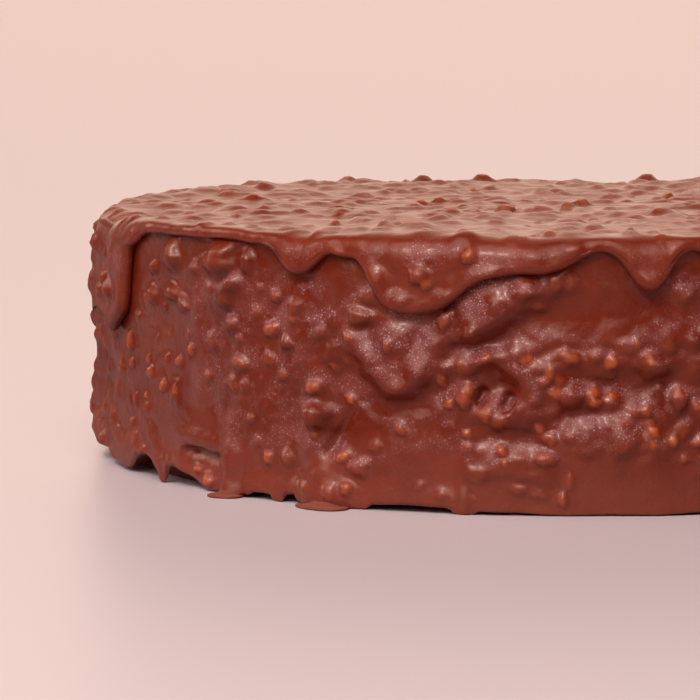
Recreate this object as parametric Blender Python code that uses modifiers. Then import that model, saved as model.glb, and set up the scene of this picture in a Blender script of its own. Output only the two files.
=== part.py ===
"""A round cake in a coat of milk chocolate and chopped nuts, with more chocolate poured over its top.

Two solids are made: the cake with its first coat, and the poured coat, a skin that covers the top and has
run over the rim in tongues. Each is a turned shape whose surface is then moved by folds and waves, with
the largest nuts fused on. Lengths are metres, +Z is up, the origin is the centre of the base, and the
front faces -Y. Angles are degrees from the front, positive towards +X.
"""

import math
from collections import namedtuple

import bmesh
import bpy
import numpy as np
from mathutils import Euler, Matrix

MM = 0.001

# Driving dimensions
COAT_RADIUS = 102.2 * MM  # the first coat's side, before its folds
CAKE_HEIGHT = 54.4 * MM  # up to the poured coat's top, before its nuts
POUR_ON_TOP = 2.2 * MM  # thickness of the poured coat on the top
POUR_ON_SIDE = 2.3 * MM  # and of its tongues
BASE_RADIUS = 95.5 * MM  # the flat base that the cake stands on
JOIN_GAP = 0.4 * MM  # between the two solids

# Worked out from them
COAT_TOP = CAKE_HEIGHT - POUR_ON_TOP
SHOULDER = 3.0 * MM  # radius of the first coat's upper edge
RIM = 3.6 * MM  # radius of the poured coat's upper edge over a tongue
LEAST_RIM = 2.2 * MM  # and between the tongues
COAT_EDGE = 1.5 * MM  # mean height of the first coat's lower edge above the base
EDGE_LIP = 1.6 * MM  # how far the lower edge rounds under
BLANK_DROP = 9.0 * MM  # depth of the hem below the top before the tongues are pulled down
LEAST_DROP = 3.5 * MM
HEM_LIP = 1.5 * MM  # height of the hem's rounded lip on a tongue
LEAST_LIP = 0.8 * MM  # and between the tongues
INSET = 4.0 * MM  # how far the poured coat's blank reaches into the cake, for the cut

COLUMNS = 216  # facets round the cake, before flatter places are thinned out
FOOT_SIDES = 10
CAKE_FACETS, POUR_FACETS = 4200, 2700  # triangles kept by the thinning, before the nuts are fused on
RUN_SEED, NUT_SEED, WAVE_SEED = 11, 23, 5
UNSEEN_FROM, UNSEEN_TO = 18.0, 278.0  # the angles whose folds, tongues and nuts are drawn at random

Tongue = namedtuple("Tongue", "angle half_width length squareness")  # degrees, degrees, mm, exponent
Fold = namedtuple("Fold", "angle height to_angle to_height half_width rise")  # degrees and mm
Foot = namedtuple("Foot", "angle width")  # a run that has come down to the base: degrees, mm
Swell = namedtuple("Swell", "angle half_width rise")  # of the lower edge: degrees, degrees, mm
Nut = namedtuple("Nut", "angle height size")  # degrees, mm, mm
TopNut = namedtuple("TopNut", "x y size")  # mm

FRONT_TONGUES = [
    Tongue(-77.0, 13.6, 15.8, 7.0),
    Tongue(-66.2, 3.5, 16.6, 5.0),
    Tongue(-30.9, 3.3, 5.2, 3.0),
    Tongue(-24.6, 1.8, 1.6, 2.5),
    Tongue(-16.8, 5.5, 11.8, 4.0),
    Tongue(-5.6, 5.8, 4.0, 4.5),
    Tongue(8.8, 2.7, 8.2, 3.6),
]

FRONT_FOLDS = [
    # the swag that hangs from the widest tongue, the crease under it and the band below that
    Fold(-1.5, 45.5, -10.5, 36.0, 5.4, 2.1),
    Fold(-2.0, 37.5, -13.0, 31.0, 2.7, -1.4),
    Fold(13.0, 36.0, -3.0, 33.6, 3.6, 1.3),
    Fold(-3.0, 33.6, -14.0, 28.0, 3.6, 1.4),
    # the pit and the arch over it
    Fold(-7.6, 24.4, -8.8, 22.4, 3.6, -2.4),
    Fold(-11.4, 26.0, -7.9, 29.0, 2.4, 0.9),
    Fold(-7.9, 29.0, -4.9, 25.5, 2.4, 1.0),
    # the valley that curls below the pit and away to the right
    Fold(-3.6, 21.5, -3.4, 19.5, 5.4, 1.5),
    Fold(-9.5, 15.5, -4.6, 13.4, 3.0, -1.3),
    Fold(-4.6, 13.4, -1.2, 18.6, 3.0, -1.4),
    Fold(-1.2, 18.6, 3.0, 25.6, 3.0, -1.5),
    Fold(3.0, 25.6, 12.0, 26.0, 3.0, -1.3),
    Fold(0.0, 30.5, 9.0, 30.0, 4.0, 1.3),
    Fold(2.5, 18.0, 9.5, 18.5, 6.0, 1.2),
    # the V-shaped run left of the pit
    Fold(-26.5, 37.0, -19.0, 22.5, 5.0, 1.4),
    Fold(-14.5, 36.0, -17.8, 23.0, 4.6, 1.5),
    Fold(-24.5, 26.5, -19.4, 19.2, 2.2, -1.3),
    Fold(-18.6, 19.0, -13.4, 21.8, 2.4, -1.0),
    # the column that ends in the widest foot, with the groove beside it
    Fold(-28.6, 25.0, -27.8, 12.5, 3.4, 2.0),
    Fold(-25.9, 17.0, -27.2, 10.5, 1.9, -1.7),
    Fold(-27.0, 10.0, -26.8, 1.5, 6.0, 1.7),
    # the column of the next foot, with the recess beside it
    Fold(-40.9, 13.0, -41.2, 1.5, 3.4, 1.8),
    Fold(-46.6, 5.2, -45.0, 2.4, 4.0, -2.2),
    Fold(-50.0, 11.0, -43.6, 9.6, 2.4, 1.1),
    # soft upright runs on the left
    Fold(-39.2, 47.0, -39.0, 22.0, 3.4, 0.9),
    Fold(-45.6, 46.0, -46.4, 16.0, 3.2, 0.8),
    Fold(-52.0, 47.0, -53.0, 18.0, 3.6, 0.9),
    Fold(-58.0, 45.0, -57.6, 14.0, 3.2, 0.8),
    Fold(-71.5, 40.0, -72.5, 14.0, 3.4, 1.1),
    Fold(-76.0, 6.5, -75.5, 4.0, 4.2, 2.2),
]

FRONT_FEET = [Foot(-52.5, 1.6), Foot(-41.2, 5.6), Foot(-27.0, 8.4), Foot(-10.8, 2.6)]

FRONT_SWELLS = [
    Swell(-61.0, 8.0, 1.2),
    Swell(-47.5, 4.5, 1.2),
    Swell(-34.5, 3.6, 0.7),
    Swell(2.0, 18.0, -0.8),
]

# The largest nuts that the front shows: those on the first coat, on the tongues and on the top
FRONT_NUTS = [
    Nut(-42.3, 45.6, 5.6),
    Nut(-50.5, 46.4, 4.2),
    Nut(-55.9, 44.0, 3.6),
    Nut(-41.5, 40.2, 4.2),
    Nut(-35.3, 34.3, 3.6),
    Nut(-57.0, 38.3, 3.4),
    Nut(-48.6, 38.0, 3.4),
    Nut(-39.5, 27.2, 3.6),
    Nut(-52.4, 19.5, 3.4),
    Nut(-57.9, 23.0, 3.2),
    Nut(-28.9, 23.3, 4.2),
    Nut(-36.2, 28.4, 3.0),
    Nut(-22.8, 36.0, 3.6),
    Nut(-13.3, 36.4, 3.8),
    Nut(-23.3, 7.9, 4.4),
    Nut(-24.3, 3.8, 3.2),
    Nut(-35.8, 8.2, 3.0),
    Nut(-10.6, 23.0, 4.4),
    Nut(-8.2, 19.8, 3.6),
    Nut(-4.4, 43.6, 3.8),
    Nut(0.3, 31.2, 4.0),
    Nut(3.6, 30.4, 4.2),
    Nut(0.6, 23.4, 3.6),
    Nut(-2.2, 10.7, 4.0),
    Nut(7.1, 16.0, 3.6),
    Nut(12.3, 23.3, 3.4),
    Nut(13.0, 40.4, 3.4),
]
TONGUE_NUTS = [
    Nut(-15.2, 48.6, 3.8),
    Nut(-10.4, 49.4, 3.4),
    Nut(-18.9, 44.4, 3.2),
    Nut(-66.0, 40.0, 3.4),
]
TOP_NUTS = [
    TopNut(20.0, -30.0, 5.0),
    TopNut(-26.0, -62.0, 4.0),
    TopNut(-8.0, -88.0, 4.2),
    TopNut(17.0, 84.0, 5.4),
]

CAKE_NUTS, POUR_NUTS = 62, 56  # nuts on each solid in all
NUT_APART = 15.0  # mm between the nuts that are drawn at random
NUT_SUNK = 0.28  # share of a nut's size from its middle down to the surface


def smooth_step(value, low, high):
    """0 below low, 1 above high, and a smooth S between."""
    t = np.clip((value - low) / (high - low), 0.0, 1.0)
    return t * t * (3.0 - 2.0 * t)


def turn(angle_from, angle_to):
    """The shortest way from one angle to another, in degrees."""
    return (np.asarray(angle_to) - angle_from + 180.0) % 360.0 - 180.0


def waves(points, wavelength, seed, count=28):
    """A smooth random field of about -1 to 1: the sum of plane waves in random directions."""
    rng = np.random.default_rng(seed)
    along = rng.normal(size=(count, 3))
    along /= np.linalg.norm(along, axis=1)[:, None]
    along *= 2.0 * math.pi / (wavelength * rng.uniform(0.75, 1.5, count))[:, None]
    phases = rng.uniform(0.0, 2.0 * math.pi, count)
    return np.cos(points @ along.T + phases).sum(axis=1) / math.sqrt(count)


def place(angle, radius, height):
    """The points at these angles, radii and heights."""
    turned_by = np.radians(angle)
    x, y = radius * np.sin(turned_by), -radius * np.cos(turned_by)
    return np.stack([x, y, height + 0.0 * turned_by], axis=-1)


def unseen_angles(rng, least_step, most_step):
    """Angles through the part of the cake that faces away, at steps drawn between two limits."""
    angle = UNSEEN_FROM + rng.uniform(0.0, most_step)
    while angle < UNSEEN_TO:
        yield angle
        angle += rng.uniform(least_step, most_step)


def all_tongues():
    """The tongues seen from the front, and drawn ones round the rest of the rim."""
    rng = np.random.default_rng(RUN_SEED)
    drawn = [
        Tongue(a, rng.uniform(2.6, 5.6), 2.0 + 16.0 * rng.uniform() ** 1.8, rng.uniform(2.8, 4.2))
        for a in unseen_angles(rng, 8.0, 17.0)
    ]
    return FRONT_TONGUES + drawn


def all_folds():
    """The folds seen from the front, and drawn runs and creases round the rest of the side."""
    rng = np.random.default_rng(RUN_SEED + 1)
    drawn = []
    for angle in unseen_angles(rng, 4.5, 8.0):
        start, lean = rng.uniform(20.0, 46.0), rng.uniform(-5.0, 5.0)
        end = max(2.0, start - rng.uniform(7.0, 26.0))
        half_width, rise = rng.uniform(3.0, 5.6), rng.uniform(0.8, 2.0)
        drawn.append(Fold(angle, start, angle + lean, end, half_width, rise))
    for angle in unseen_angles(rng, 8.0, 16.0):
        start, lean = rng.uniform(10.0, 38.0), rng.uniform(-7.0, 7.0)
        end, rise = start - rng.uniform(-2.0, 6.0), -rng.uniform(0.8, 1.8)
        drawn.append(Fold(angle, start, angle + lean, end, 2.8, rise))
    return FRONT_FOLDS + drawn


def all_feet():
    """The feet seen from the front, and drawn ones round the rest of the base."""
    rng = np.random.default_rng(RUN_SEED + 2)
    return FRONT_FEET + [Foot(a, rng.uniform(1.6, 6.5)) for a in unseen_angles(rng, 14.0, 34.0)]


def hem_drop(angle):
    """How far below the top the poured coat's hem hangs: a little everywhere, and more in each tongue.

    Tongues that meet are joined by the cube root of the sum of cubes.
    """
    reach = np.zeros_like(angle)
    for tongue in all_tongues():
        off = np.abs(turn(tongue.angle, angle)) / tongue.half_width
        reach += (tongue.length * MM * np.exp(-(off**tongue.squareness))) ** 3
    return LEAST_DROP + np.cbrt(reach)


def fold_relief(angle, height):
    """How far folds raise or sink the side: each is a rounded ridge about a line on the unrolled side."""
    relief = np.zeros_like(angle)
    degree = math.radians(1.0) * COAT_RADIUS / MM
    for fold in all_folds():
        across, up = turn(fold.angle, angle) * degree, height / MM - fold.height
        run_across = turn(fold.angle, fold.to_angle) * degree
        run_up = fold.to_height - fold.height
        length = max(run_across**2 + run_up**2, 1e-6)
        along = np.clip((across * run_across + up * run_up) / length, 0.0, 1.0)
        away = np.hypot(across - along * run_across, up - along * run_up) / fold.half_width
        relief += fold.rise * MM * np.clip(1.0 - away**2 * 0.5, 0.0, 1.0) ** 3
    return relief


def side_radius(angle, height):
    """The first coat's radius, with its folds and waves."""
    points = place(angle, COAT_RADIUS, height)
    return COAT_RADIUS + fold_relief(angle, height) + 0.35 * MM * waves(points, 22.0 * MM, WAVE_SEED)


def edge_height(angle):
    """The height of the first coat's ragged lower edge."""
    height = COAT_EDGE + 0.45 * MM * waves(place(angle, COAT_RADIUS, 0.0), 26.0 * MM, WAVE_SEED + 1)
    for swell in FRONT_SWELLS:
        height += swell.rise * MM * np.exp(-((turn(swell.angle, angle) / swell.half_width) ** 2))
    return np.clip(height, 0.5 * MM, 3.2 * MM)


def top_height(points):
    """How far gentle waves raise or sink the poured coat's top."""
    broad = waves(points, 38.0 * MM, WAVE_SEED + 2)
    narrow = waves(points, 14.0 * MM, WAVE_SEED + 3)
    return 0.45 * MM * broad + 0.2 * MM * narrow


def arc(centre_radius, centre_height, radius, start, end, steps):
    """Points of a profile's round corner, between two angles from the horizontal in degrees."""
    return [
        (
            centre_radius + radius * math.cos(math.radians(start + (end - start) * i / steps)),
            centre_height + radius * math.sin(math.radians(start + (end - start) * i / steps)),
        )
        for i in range(steps + 1)
    ]


def link(obj, collection):
    """Puts the object in the collection and hands it back."""
    collection.objects.link(obj)
    return obj


def turned(name, profile, collection, columns):
    """The solid that a profile sweeps round the Z axis, as a mesh object."""
    mesh = bpy.data.meshes.new(name)
    mesh.from_pydata([(r, 0.0, z) for r, z in profile], [(i, i + 1) for i in range(len(profile) - 1)], [])
    obj = link(bpy.data.objects.new(name, mesh), collection)
    screw = obj.modifiers.new("Turn", "SCREW")
    screw.steps = screw.render_steps = columns
    screw.use_merge_vertices = True
    screw.merge_threshold = 0.01 * MM
    apply_modifiers(obj)
    return obj


def apply_modifiers(obj):
    """Makes what the object's modifiers show its own mesh, and removes them."""
    graph = bpy.context.evaluated_depsgraph_get()
    mesh = bpy.data.meshes.new_from_object(obj.evaluated_get(graph))
    obj.modifiers.clear()
    old, obj.data = obj.data, mesh
    bpy.data.meshes.remove(old)


def reshape(obj, move):
    """Moves every point of the object; move takes angles, radii and heights and gives radii and heights."""
    count = len(obj.data.vertices)
    points = np.empty(count * 3)
    obj.data.vertices.foreach_get("co", points)
    x, y, z = points.reshape(-1, 3).T
    angle = np.degrees(np.arctan2(x, -y))
    radius, height = move(angle, np.hypot(x, y), z)
    obj.data.vertices.foreach_set("co", place(angle, radius, height).ravel())
    obj.data.update()


def cake_profile():
    """The first coat's outline, from the top's centre down its side and under to the base's centre."""
    lowest_side, highest_side = 6.0 * MM, COAT_TOP - SHOULDER
    rows = 13
    side = [(COAT_RADIUS, highest_side + (lowest_side - highest_side) * i / rows) for i in range(1, rows + 1)]
    shoulder = arc(COAT_RADIUS - SHOULDER, highest_side, SHOULDER, 90.0, 0.0, 2)
    lip = arc(COAT_RADIUS - EDGE_LIP, COAT_EDGE + EDGE_LIP, EDGE_LIP, 0.0, -90.0, 2)
    return [
        (0.0, COAT_TOP),
        *shoulder,
        *side,
        *lip,
        (BASE_RADIUS, COAT_EDGE + 0.8 * MM),
        (BASE_RADIUS, 0.0),
        (0.0, 0.0),
    ]


def shape_cake(angle, radius, height):
    """Gives the turned cake its folds and its ragged lower edge."""
    low = (1.0 - smooth_step(height, EDGE_LIP + COAT_EDGE, 12.0 * MM)) * (height > 0.1 * MM)
    new_height = height + low * (edge_height(angle) - COAT_EDGE)
    outer = smooth_step(radius, COAT_RADIUS - SHOULDER, COAT_RADIUS - 0.2 * SHOULDER)
    return radius + outer * (side_radius(angle, new_height) - COAT_RADIUS), new_height


def pour_profile():
    """The poured coat's outline: its top, rim and side, the lip of its hem and a way back inside the cake."""
    outer = COAT_RADIUS + POUR_ON_SIDE
    hem = CAKE_HEIGHT - BLANK_DROP
    rings = [(r * MM, CAKE_HEIGHT) for r in (0.0, 20.0, 40.0, 60.0, 80.0, 95.0)]
    rim = arc(outer - RIM, CAKE_HEIGHT - RIM, RIM, 90.0, 0.0, 2)
    side = [(outer, CAKE_HEIGHT - RIM + (hem + HEM_LIP - CAKE_HEIGHT + RIM) * i / 3) for i in (1, 2, 3)]
    lip = arc(outer - HEM_LIP, hem + HEM_LIP, HEM_LIP, -45.0, -90.0, 1)
    inside = [(COAT_RADIUS - INSET, hem + HEM_LIP), (0.0, COAT_TOP - INSET)]
    return [*rings, *rim, *side, *lip, *inside]


def shape_pour(angle, radius, height):
    """Pulls the turned coat's hem down into tongues, and lays its side on the first coat's folds.

    The rim, the side and the lip below it are each stretched on their own, so the rim and the lip stay round.
    """
    drop = hem_drop(angle)
    grown = smooth_step(drop, LEAST_DROP, 7.0 * MM)
    rim = LEAST_RIM + (RIM - LEAST_RIM) * grown
    lip = LEAST_LIP + (HEM_LIP - LEAST_LIP) * grown
    depth = CAKE_HEIGHT - height
    straight = BLANK_DROP - HEM_LIP - RIM
    down_side = np.clip(depth - RIM, 0.0, straight) / straight
    down_lip = np.clip(depth - RIM - straight, 0.0, HEM_LIP) / HEM_LIP
    new_depth = np.minimum(depth, RIM) / RIM * rim + down_side * (drop - rim - lip) + down_lip * lip

    outer = COAT_RADIUS + POUR_ON_SIDE
    shrink = np.where(depth > RIM + 0.5 * straight, lip / HEM_LIP, rim / RIM)
    outside = radius > COAT_RADIUS - 0.5 * INSET
    new_height = CAKE_HEIGHT - new_depth + top_height(place(angle, radius, CAKE_HEIGHT))
    new_radius = outer - (outer - radius) * shrink + side_radius(angle, new_height) - COAT_RADIUS

    level_with_hem = (depth > BLANK_DROP - HEM_LIP - 0.01 * MM) & ~outside
    inside_height = np.minimum(CAKE_HEIGHT - drop + lip, COAT_TOP - 1.0 * MM)
    kept = np.where(level_with_hem, inside_height, height)
    new_height = np.where(outside | (depth < 0.01 * MM), new_height, kept)
    return np.where(outside, new_radius, radius), new_height


def icosphere(name, size, turned_by, place_at, collection):
    """A chopped nut: a 20-sided ball, stretched unevenly and turned."""
    mesh = bpy.data.meshes.new(name)
    bm = bmesh.new()
    bmesh.ops.create_icosphere(bm, subdivisions=1, radius=0.5)
    bmesh.ops.transform(
        bm,
        matrix=Matrix.Translation(place_at) @ turned_by.to_matrix().to_4x4() @ Matrix.Diagonal((*size, 1.0)),
        verts=bm.verts,
    )
    bm.to_mesh(mesh)
    bm.free()
    return link(bpy.data.objects.new(name, mesh), collection)


def nut_solid(spot, outwards, size, rng, collection):
    """One nut of about this size, its middle sunk a little below the surface at the spot."""
    shares = (rng.uniform(0.95, 1.15), rng.uniform(0.8, 1.0), rng.uniform(0.75, 0.95))
    sizes = [size * MM * share for share in shares]
    turned_by = Euler(rng.uniform(0.0, 2.0 * math.pi, 3))
    middle = np.asarray(spot) - np.asarray(outwards) * size * NUT_SUNK * 0.5 * MM
    return icosphere("nut", sizes, turned_by, middle, collection)


def spread(first, draw, far_enough, count):
    """The first nuts, and as many drawn ones as bring them to the count, each far enough from all others."""
    kept = list(first)
    for _ in range(200 * count):
        nut = draw()
        if len(kept) >= count:
            break
        if all(far_enough(nut, other) for other in kept):
            kept.append(nut)
    return kept


def side_nuts():
    """The nuts on the first coat, clear of the tongues, the base and each other."""
    rng = np.random.default_rng(NUT_SEED)
    degree = math.radians(1.0) * COAT_RADIUS / MM

    def draw():
        return Nut(rng.uniform(UNSEEN_FROM - 4.0, UNSEEN_TO), rng.uniform(4.0, 46.0), rng.uniform(3.4, 5.6))

    def far_enough(nut, other):
        across = float(turn(nut.angle, other.angle)) * degree
        below_hem = nut.height + nut.size + 1.2 < lowest_hem_near(nut.angle)
        return below_hem and math.hypot(across, nut.height - other.height) > NUT_APART

    return spread(FRONT_NUTS, draw, far_enough, CAKE_NUTS)


def lowest_hem_near(angle):
    """The hem's lowest height in mm within a nut's width of an angle."""
    return float((CAKE_HEIGHT - hem_drop(angle + np.linspace(-3.5, 3.5, 8))).min()) / MM


def pour_top_nuts():
    """The nuts on the poured coat's top, out to near its rim."""
    rng = np.random.default_rng(NUT_SEED + 1)

    def draw():
        away, angle = 99.0 * math.sqrt(rng.uniform()), rng.uniform(0.0, 2.0 * math.pi)
        return TopNut(away * math.cos(angle), away * math.sin(angle), rng.uniform(3.4, 6.0))

    def far_enough(nut, other):
        return math.hypot(nut.x - other.x, nut.y - other.y) > NUT_APART

    return spread(TOP_NUTS, draw, far_enough, POUR_NUTS - len(TONGUE_NUTS))


def cake_nut_solids(collection):
    """Solids for the nuts of the first coat."""
    rng = np.random.default_rng(NUT_SEED + 2)
    for nut in side_nuts():
        angle, height = np.array([nut.angle]), np.array([nut.height * MM])
        spot = place(angle, side_radius(angle, height), height)[0]
        nut_solid(spot, place(angle, 1.0, 0.0)[0], nut.size, rng, collection)


def pour_nut_solids(collection):
    """Solids for the nuts of the poured coat, on its top and on its tongues."""
    rng = np.random.default_rng(NUT_SEED + 3)
    for nut in pour_top_nuts():
        spot = np.array([[nut.x * MM, nut.y * MM, CAKE_HEIGHT]])
        spot[:, 2] += top_height(spot)
        nut_solid(spot[0], (0.0, 0.0, 1.0), nut.size, rng, collection)
    for nut in TONGUE_NUTS:
        angle, height = np.array([nut.angle]), np.array([nut.height * MM])
        spot = place(angle, side_radius(angle, height) + POUR_ON_SIDE, height)[0]
        nut_solid(spot, place(angle, 1.0, 0.0)[0], nut.size, rng, collection)


def foot_solids(collection):
    """Feet of the first coat: each is a run that comes down from the lower edge and spreads at its end."""
    for foot in all_feet():
        half = 0.5 * foot.width * MM
        top, neck, edge, bottom = 7.5 * MM, 2.2 * MM, 0.6 * MM, 0.1 * MM
        spread_by = (0.5 + 0.08 * foot.width) * MM
        profile = [(0.0, top), (0.7 * half, top), (half, neck), (half + spread_by, edge)]
        profile += [(half + 0.8 * spread_by, bottom), (0.0, bottom)]
        angle = np.array([foot.angle])
        middle = side_radius(angle, np.array([4.0 * MM]))[0] - half - 0.4 * MM
        obj = turned("foot", profile, collection, FOOT_SIDES)
        obj.data.transform(Matrix.Translation(place(angle, middle, np.array([0.0]))[0]))


def thin_out(obj, facets):
    """Leaves about this many triangles, taking them out where the surface is flattest."""
    triangles = sum(len(face.vertices) - 2 for face in obj.data.polygons)
    modifier = obj.modifiers.new("Thin out", "DECIMATE")
    modifier.ratio = facets / triangles
    apply_modifiers(obj)


def boolean(obj, operation, other=None, collection=None):
    """Joins to the object, or cuts from it, another object or all of a collection, and removes those."""
    modifier = obj.modifiers.new(operation.title(), "BOOLEAN")
    modifier.operation = operation
    modifier.solver = "MANIFOLD"
    if other is not None:
        modifier.object = other
    else:
        modifier.operand_type = "COLLECTION"
        modifier.collection = collection
    apply_modifiers(obj)
    for used in [other] if other is not None else list(collection.objects):
        bpy.data.objects.remove(used)


def swollen_copy(obj, by, collection):
    """A copy of the object with every point moved outwards."""
    mesh = obj.data.copy()
    points, normals = (np.empty(len(mesh.vertices) * 3) for _ in range(2))
    mesh.vertices.foreach_get("co", points)
    mesh.vertices.foreach_get("normal", normals)
    mesh.vertices.foreach_set("co", points + by * normals)
    return link(bpy.data.objects.new("cutter", mesh), collection)


def finish(obj, material):
    """Gives the object its material, smooth round faces and sharp edges elsewhere."""
    obj.data.materials.clear()
    obj.data.materials.append(material)
    obj.data.shade_smooth()
    obj.data.set_sharp_from_angle(angle=math.radians(50.0))


def chocolate(name, colour, roughness):
    """A milk chocolate material."""
    material = bpy.data.materials.new(name)
    material.use_nodes = True
    shader = material.node_tree.nodes["Principled BSDF"]
    shader.inputs["Base Color"].default_value = (*colour, 1.0)
    shader.inputs["Roughness"].default_value = roughness
    shader.inputs["Metallic"].default_value = 0.0
    return material


def main():
    """Clears the scene and builds both solids."""
    for obj in list(bpy.data.objects):
        bpy.data.objects.remove(obj)
    parts = bpy.data.collections.new("nut_chocolate_cake")
    tools = bpy.data.collections.new("tools")
    for collection in (parts, tools):
        bpy.context.scene.collection.children.link(collection)

    cake = turned("coated_cake", cake_profile(), parts, COLUMNS)
    reshape(cake, shape_cake)
    thin_out(cake, CAKE_FACETS)
    cutter = swollen_copy(cake, JOIN_GAP, tools)
    tools.objects.unlink(cutter)
    foot_solids(tools)
    cake_nut_solids(tools)
    boolean(cake, "UNION", collection=tools)

    pour = turned("poured_coat", pour_profile(), parts, COLUMNS)
    reshape(pour, shape_pour)
    thin_out(pour, POUR_FACETS)
    pour_nut_solids(tools)
    boolean(pour, "UNION", collection=tools)
    tools.objects.link(cutter)
    boolean(pour, "DIFFERENCE", other=cutter)
    bpy.data.collections.remove(tools)

    finish(cake, chocolate("first coat", (0.19, 0.045, 0.022), 0.38))
    finish(pour, chocolate("poured coat", (0.22, 0.058, 0.03), 0.34))


main()
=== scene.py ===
"""Looks of a whole round cake in milk chocolate and chopped nuts, with more chocolate poured over its top.

The first coat and the poured coat are closed surfaces worked out on grids that run round the cake, and they
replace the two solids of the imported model. Shapes are worked out in millimetres and put into the meshes in
metres. Angles are degrees from the front, positive towards +X; +Z is up and the base's centre is the origin.
"""

import logging
import math
from dataclasses import dataclass
from enum import Enum
from typing import Any, Iterator, NamedTuple

import bpy
import numpy as np
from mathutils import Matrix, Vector


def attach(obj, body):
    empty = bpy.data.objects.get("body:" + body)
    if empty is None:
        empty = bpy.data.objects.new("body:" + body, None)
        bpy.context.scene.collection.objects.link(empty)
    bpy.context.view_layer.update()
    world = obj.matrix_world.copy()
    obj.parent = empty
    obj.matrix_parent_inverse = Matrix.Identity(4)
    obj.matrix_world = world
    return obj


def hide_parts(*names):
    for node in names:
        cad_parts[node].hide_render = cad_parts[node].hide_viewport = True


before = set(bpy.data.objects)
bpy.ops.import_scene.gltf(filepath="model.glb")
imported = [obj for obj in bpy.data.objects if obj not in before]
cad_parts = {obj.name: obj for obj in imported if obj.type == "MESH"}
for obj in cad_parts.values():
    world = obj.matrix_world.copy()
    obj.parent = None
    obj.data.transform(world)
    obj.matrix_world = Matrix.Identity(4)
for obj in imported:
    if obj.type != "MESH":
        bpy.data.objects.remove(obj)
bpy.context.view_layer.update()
LOG = logging.getLogger("cake")
MM = 0.001

Array = np.ndarray
SideNut = tuple[float, float, float, float, float]  # angle, height, width, height of the nut, lean
SidePlace = tuple[float, float, float, float, float]  # angle, height, half angle, half height, strength


class Tongue(NamedTuple):
    """A run of the poured coat over the rim: degrees, degrees, mm, and how square its end is."""

    angle: float
    half_width: float
    length: float
    squareness: float


class Run(NamedTuple):
    """A rounded ridge, or a hollow where rise is negative, along a line on the side.

    Each knot is (angle, height, half width, rise) in degrees and mm. Below the line the flank is
    narrower by the share `steep`, as where soft chocolate has sagged.
    """

    knots: tuple[tuple[float, float, float, float], ...]
    steep: float = 0.35


class Foot(NamedTuple):
    """A run of the first coat that has reached the base: degrees, mm, and the mm over which it tapers."""

    angle: float
    width: float
    taper: float = 0.9


class Cover(Enum):
    """How much chocolate lies on a nut, and the shape that this gives it.

    In order: its height as a share of its size, how much of the nut shows, the height of the skirt round
    it, how steep its facets are and how much further out they lie, and the a and n of exp(-a q^n), its
    profile, where q is the distance from its middle. A nut that is nearly bare has (1 - q^2.4)^0.65.
    """

    DEEP = (0.17, 0.0, 0.06, 0.05, 0.15, 1.35, 2.8)
    LUMP = (0.56, 0.12, 0.06, 0.05, 0.15, 1.35, 2.8)
    THICK = (0.34, 0.2, 0.06, 0.16, 0.0, 1.2, 2.6)
    THIN = (0.42, 0.8, 0.32, 0.4, 0.0, 0.0, 0.0)

    def __init__(
        self, rise: float, tint: float, skirt: float, steep: float, further: float, fall: float, power: float
    ) -> None:
        """Keeps the numbers under their names."""
        self.rise, self.tint, self.skirt = rise, tint, skirt
        self.steep, self.further, self.fall, self.power = steep, further, fall, power

    def profile(self, q: Array) -> Array:
        """The nut's height, from 0 to 1, at distances q from its middle."""
        bare = np.clip(1.0 - q**2.4, 0.0, 1.0) ** 0.65
        return bare if self is Cover.THIN else np.exp(-self.fall * q**self.power)


class Nut(NamedTuple):
    """A chopped nut in a coat: its middle on the surface, the way out of it, its sizes (mm) and its turn."""

    spot: tuple[float, float, float]
    outwards: tuple[float, float, float]
    across: float
    tall: float
    lean: float
    cover: Cover

    def own_axes(self, offset: Array) -> tuple[Array, Array]:
        """Places near the nut in its own half sizes: (x cos l + y sin l) / a and (y cos l - x sin l) / b.

        Args:
            offset: the places from its middle in mm.

        Returns:
            How far each lies along its width and along its height.
        """
        outwards = np.asarray(self.outwards)
        sideways = np.cross((0.0, 0.0, 1.0) if abs(outwards[2]) < 0.9 else (0.0, -1.0, 0.0), outwards)
        sideways /= np.linalg.norm(sideways)
        x, y = offset @ sideways, offset @ np.cross(outwards, sideways)
        lean = math.radians(self.lean)
        along_width = (x * math.cos(lean) + y * math.sin(lean)) / (0.5 * self.across)
        return along_width, (y * math.cos(lean) - x * math.sin(lean)) / (0.5 * self.tall)


UNSEEN_FROM, UNSEEN_TO = 18.0, 278.0  # the angles whose folds, tongues and nuts are drawn at random
FRONT_MIDDLE = -36.0  # the angle in the middle of the seen part
RUN_SEED, NUT_SEED, WAVE_SEED = 11, 23, 5

FRONT_TONGUES = [
    Tongue(-77.0, 13.6, 18.6, 7.0),
    Tongue(-64.9, 3.5, 17.6, 5.5),
    Tongue(-60.6, 2.6, 3.0, 2.6),
]

# The sheet in which the widest of them runs out: the angles over which it starts and ends, where it grows
# thinner to the left, and over how many degrees
SHEET_STARTS, SHEET_ENDS = (-92.5, -89.5), (-70.9, -68.7)
SHEET_FADES_FROM, SHEET_FADES_OVER = -78.0, 7.0

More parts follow.
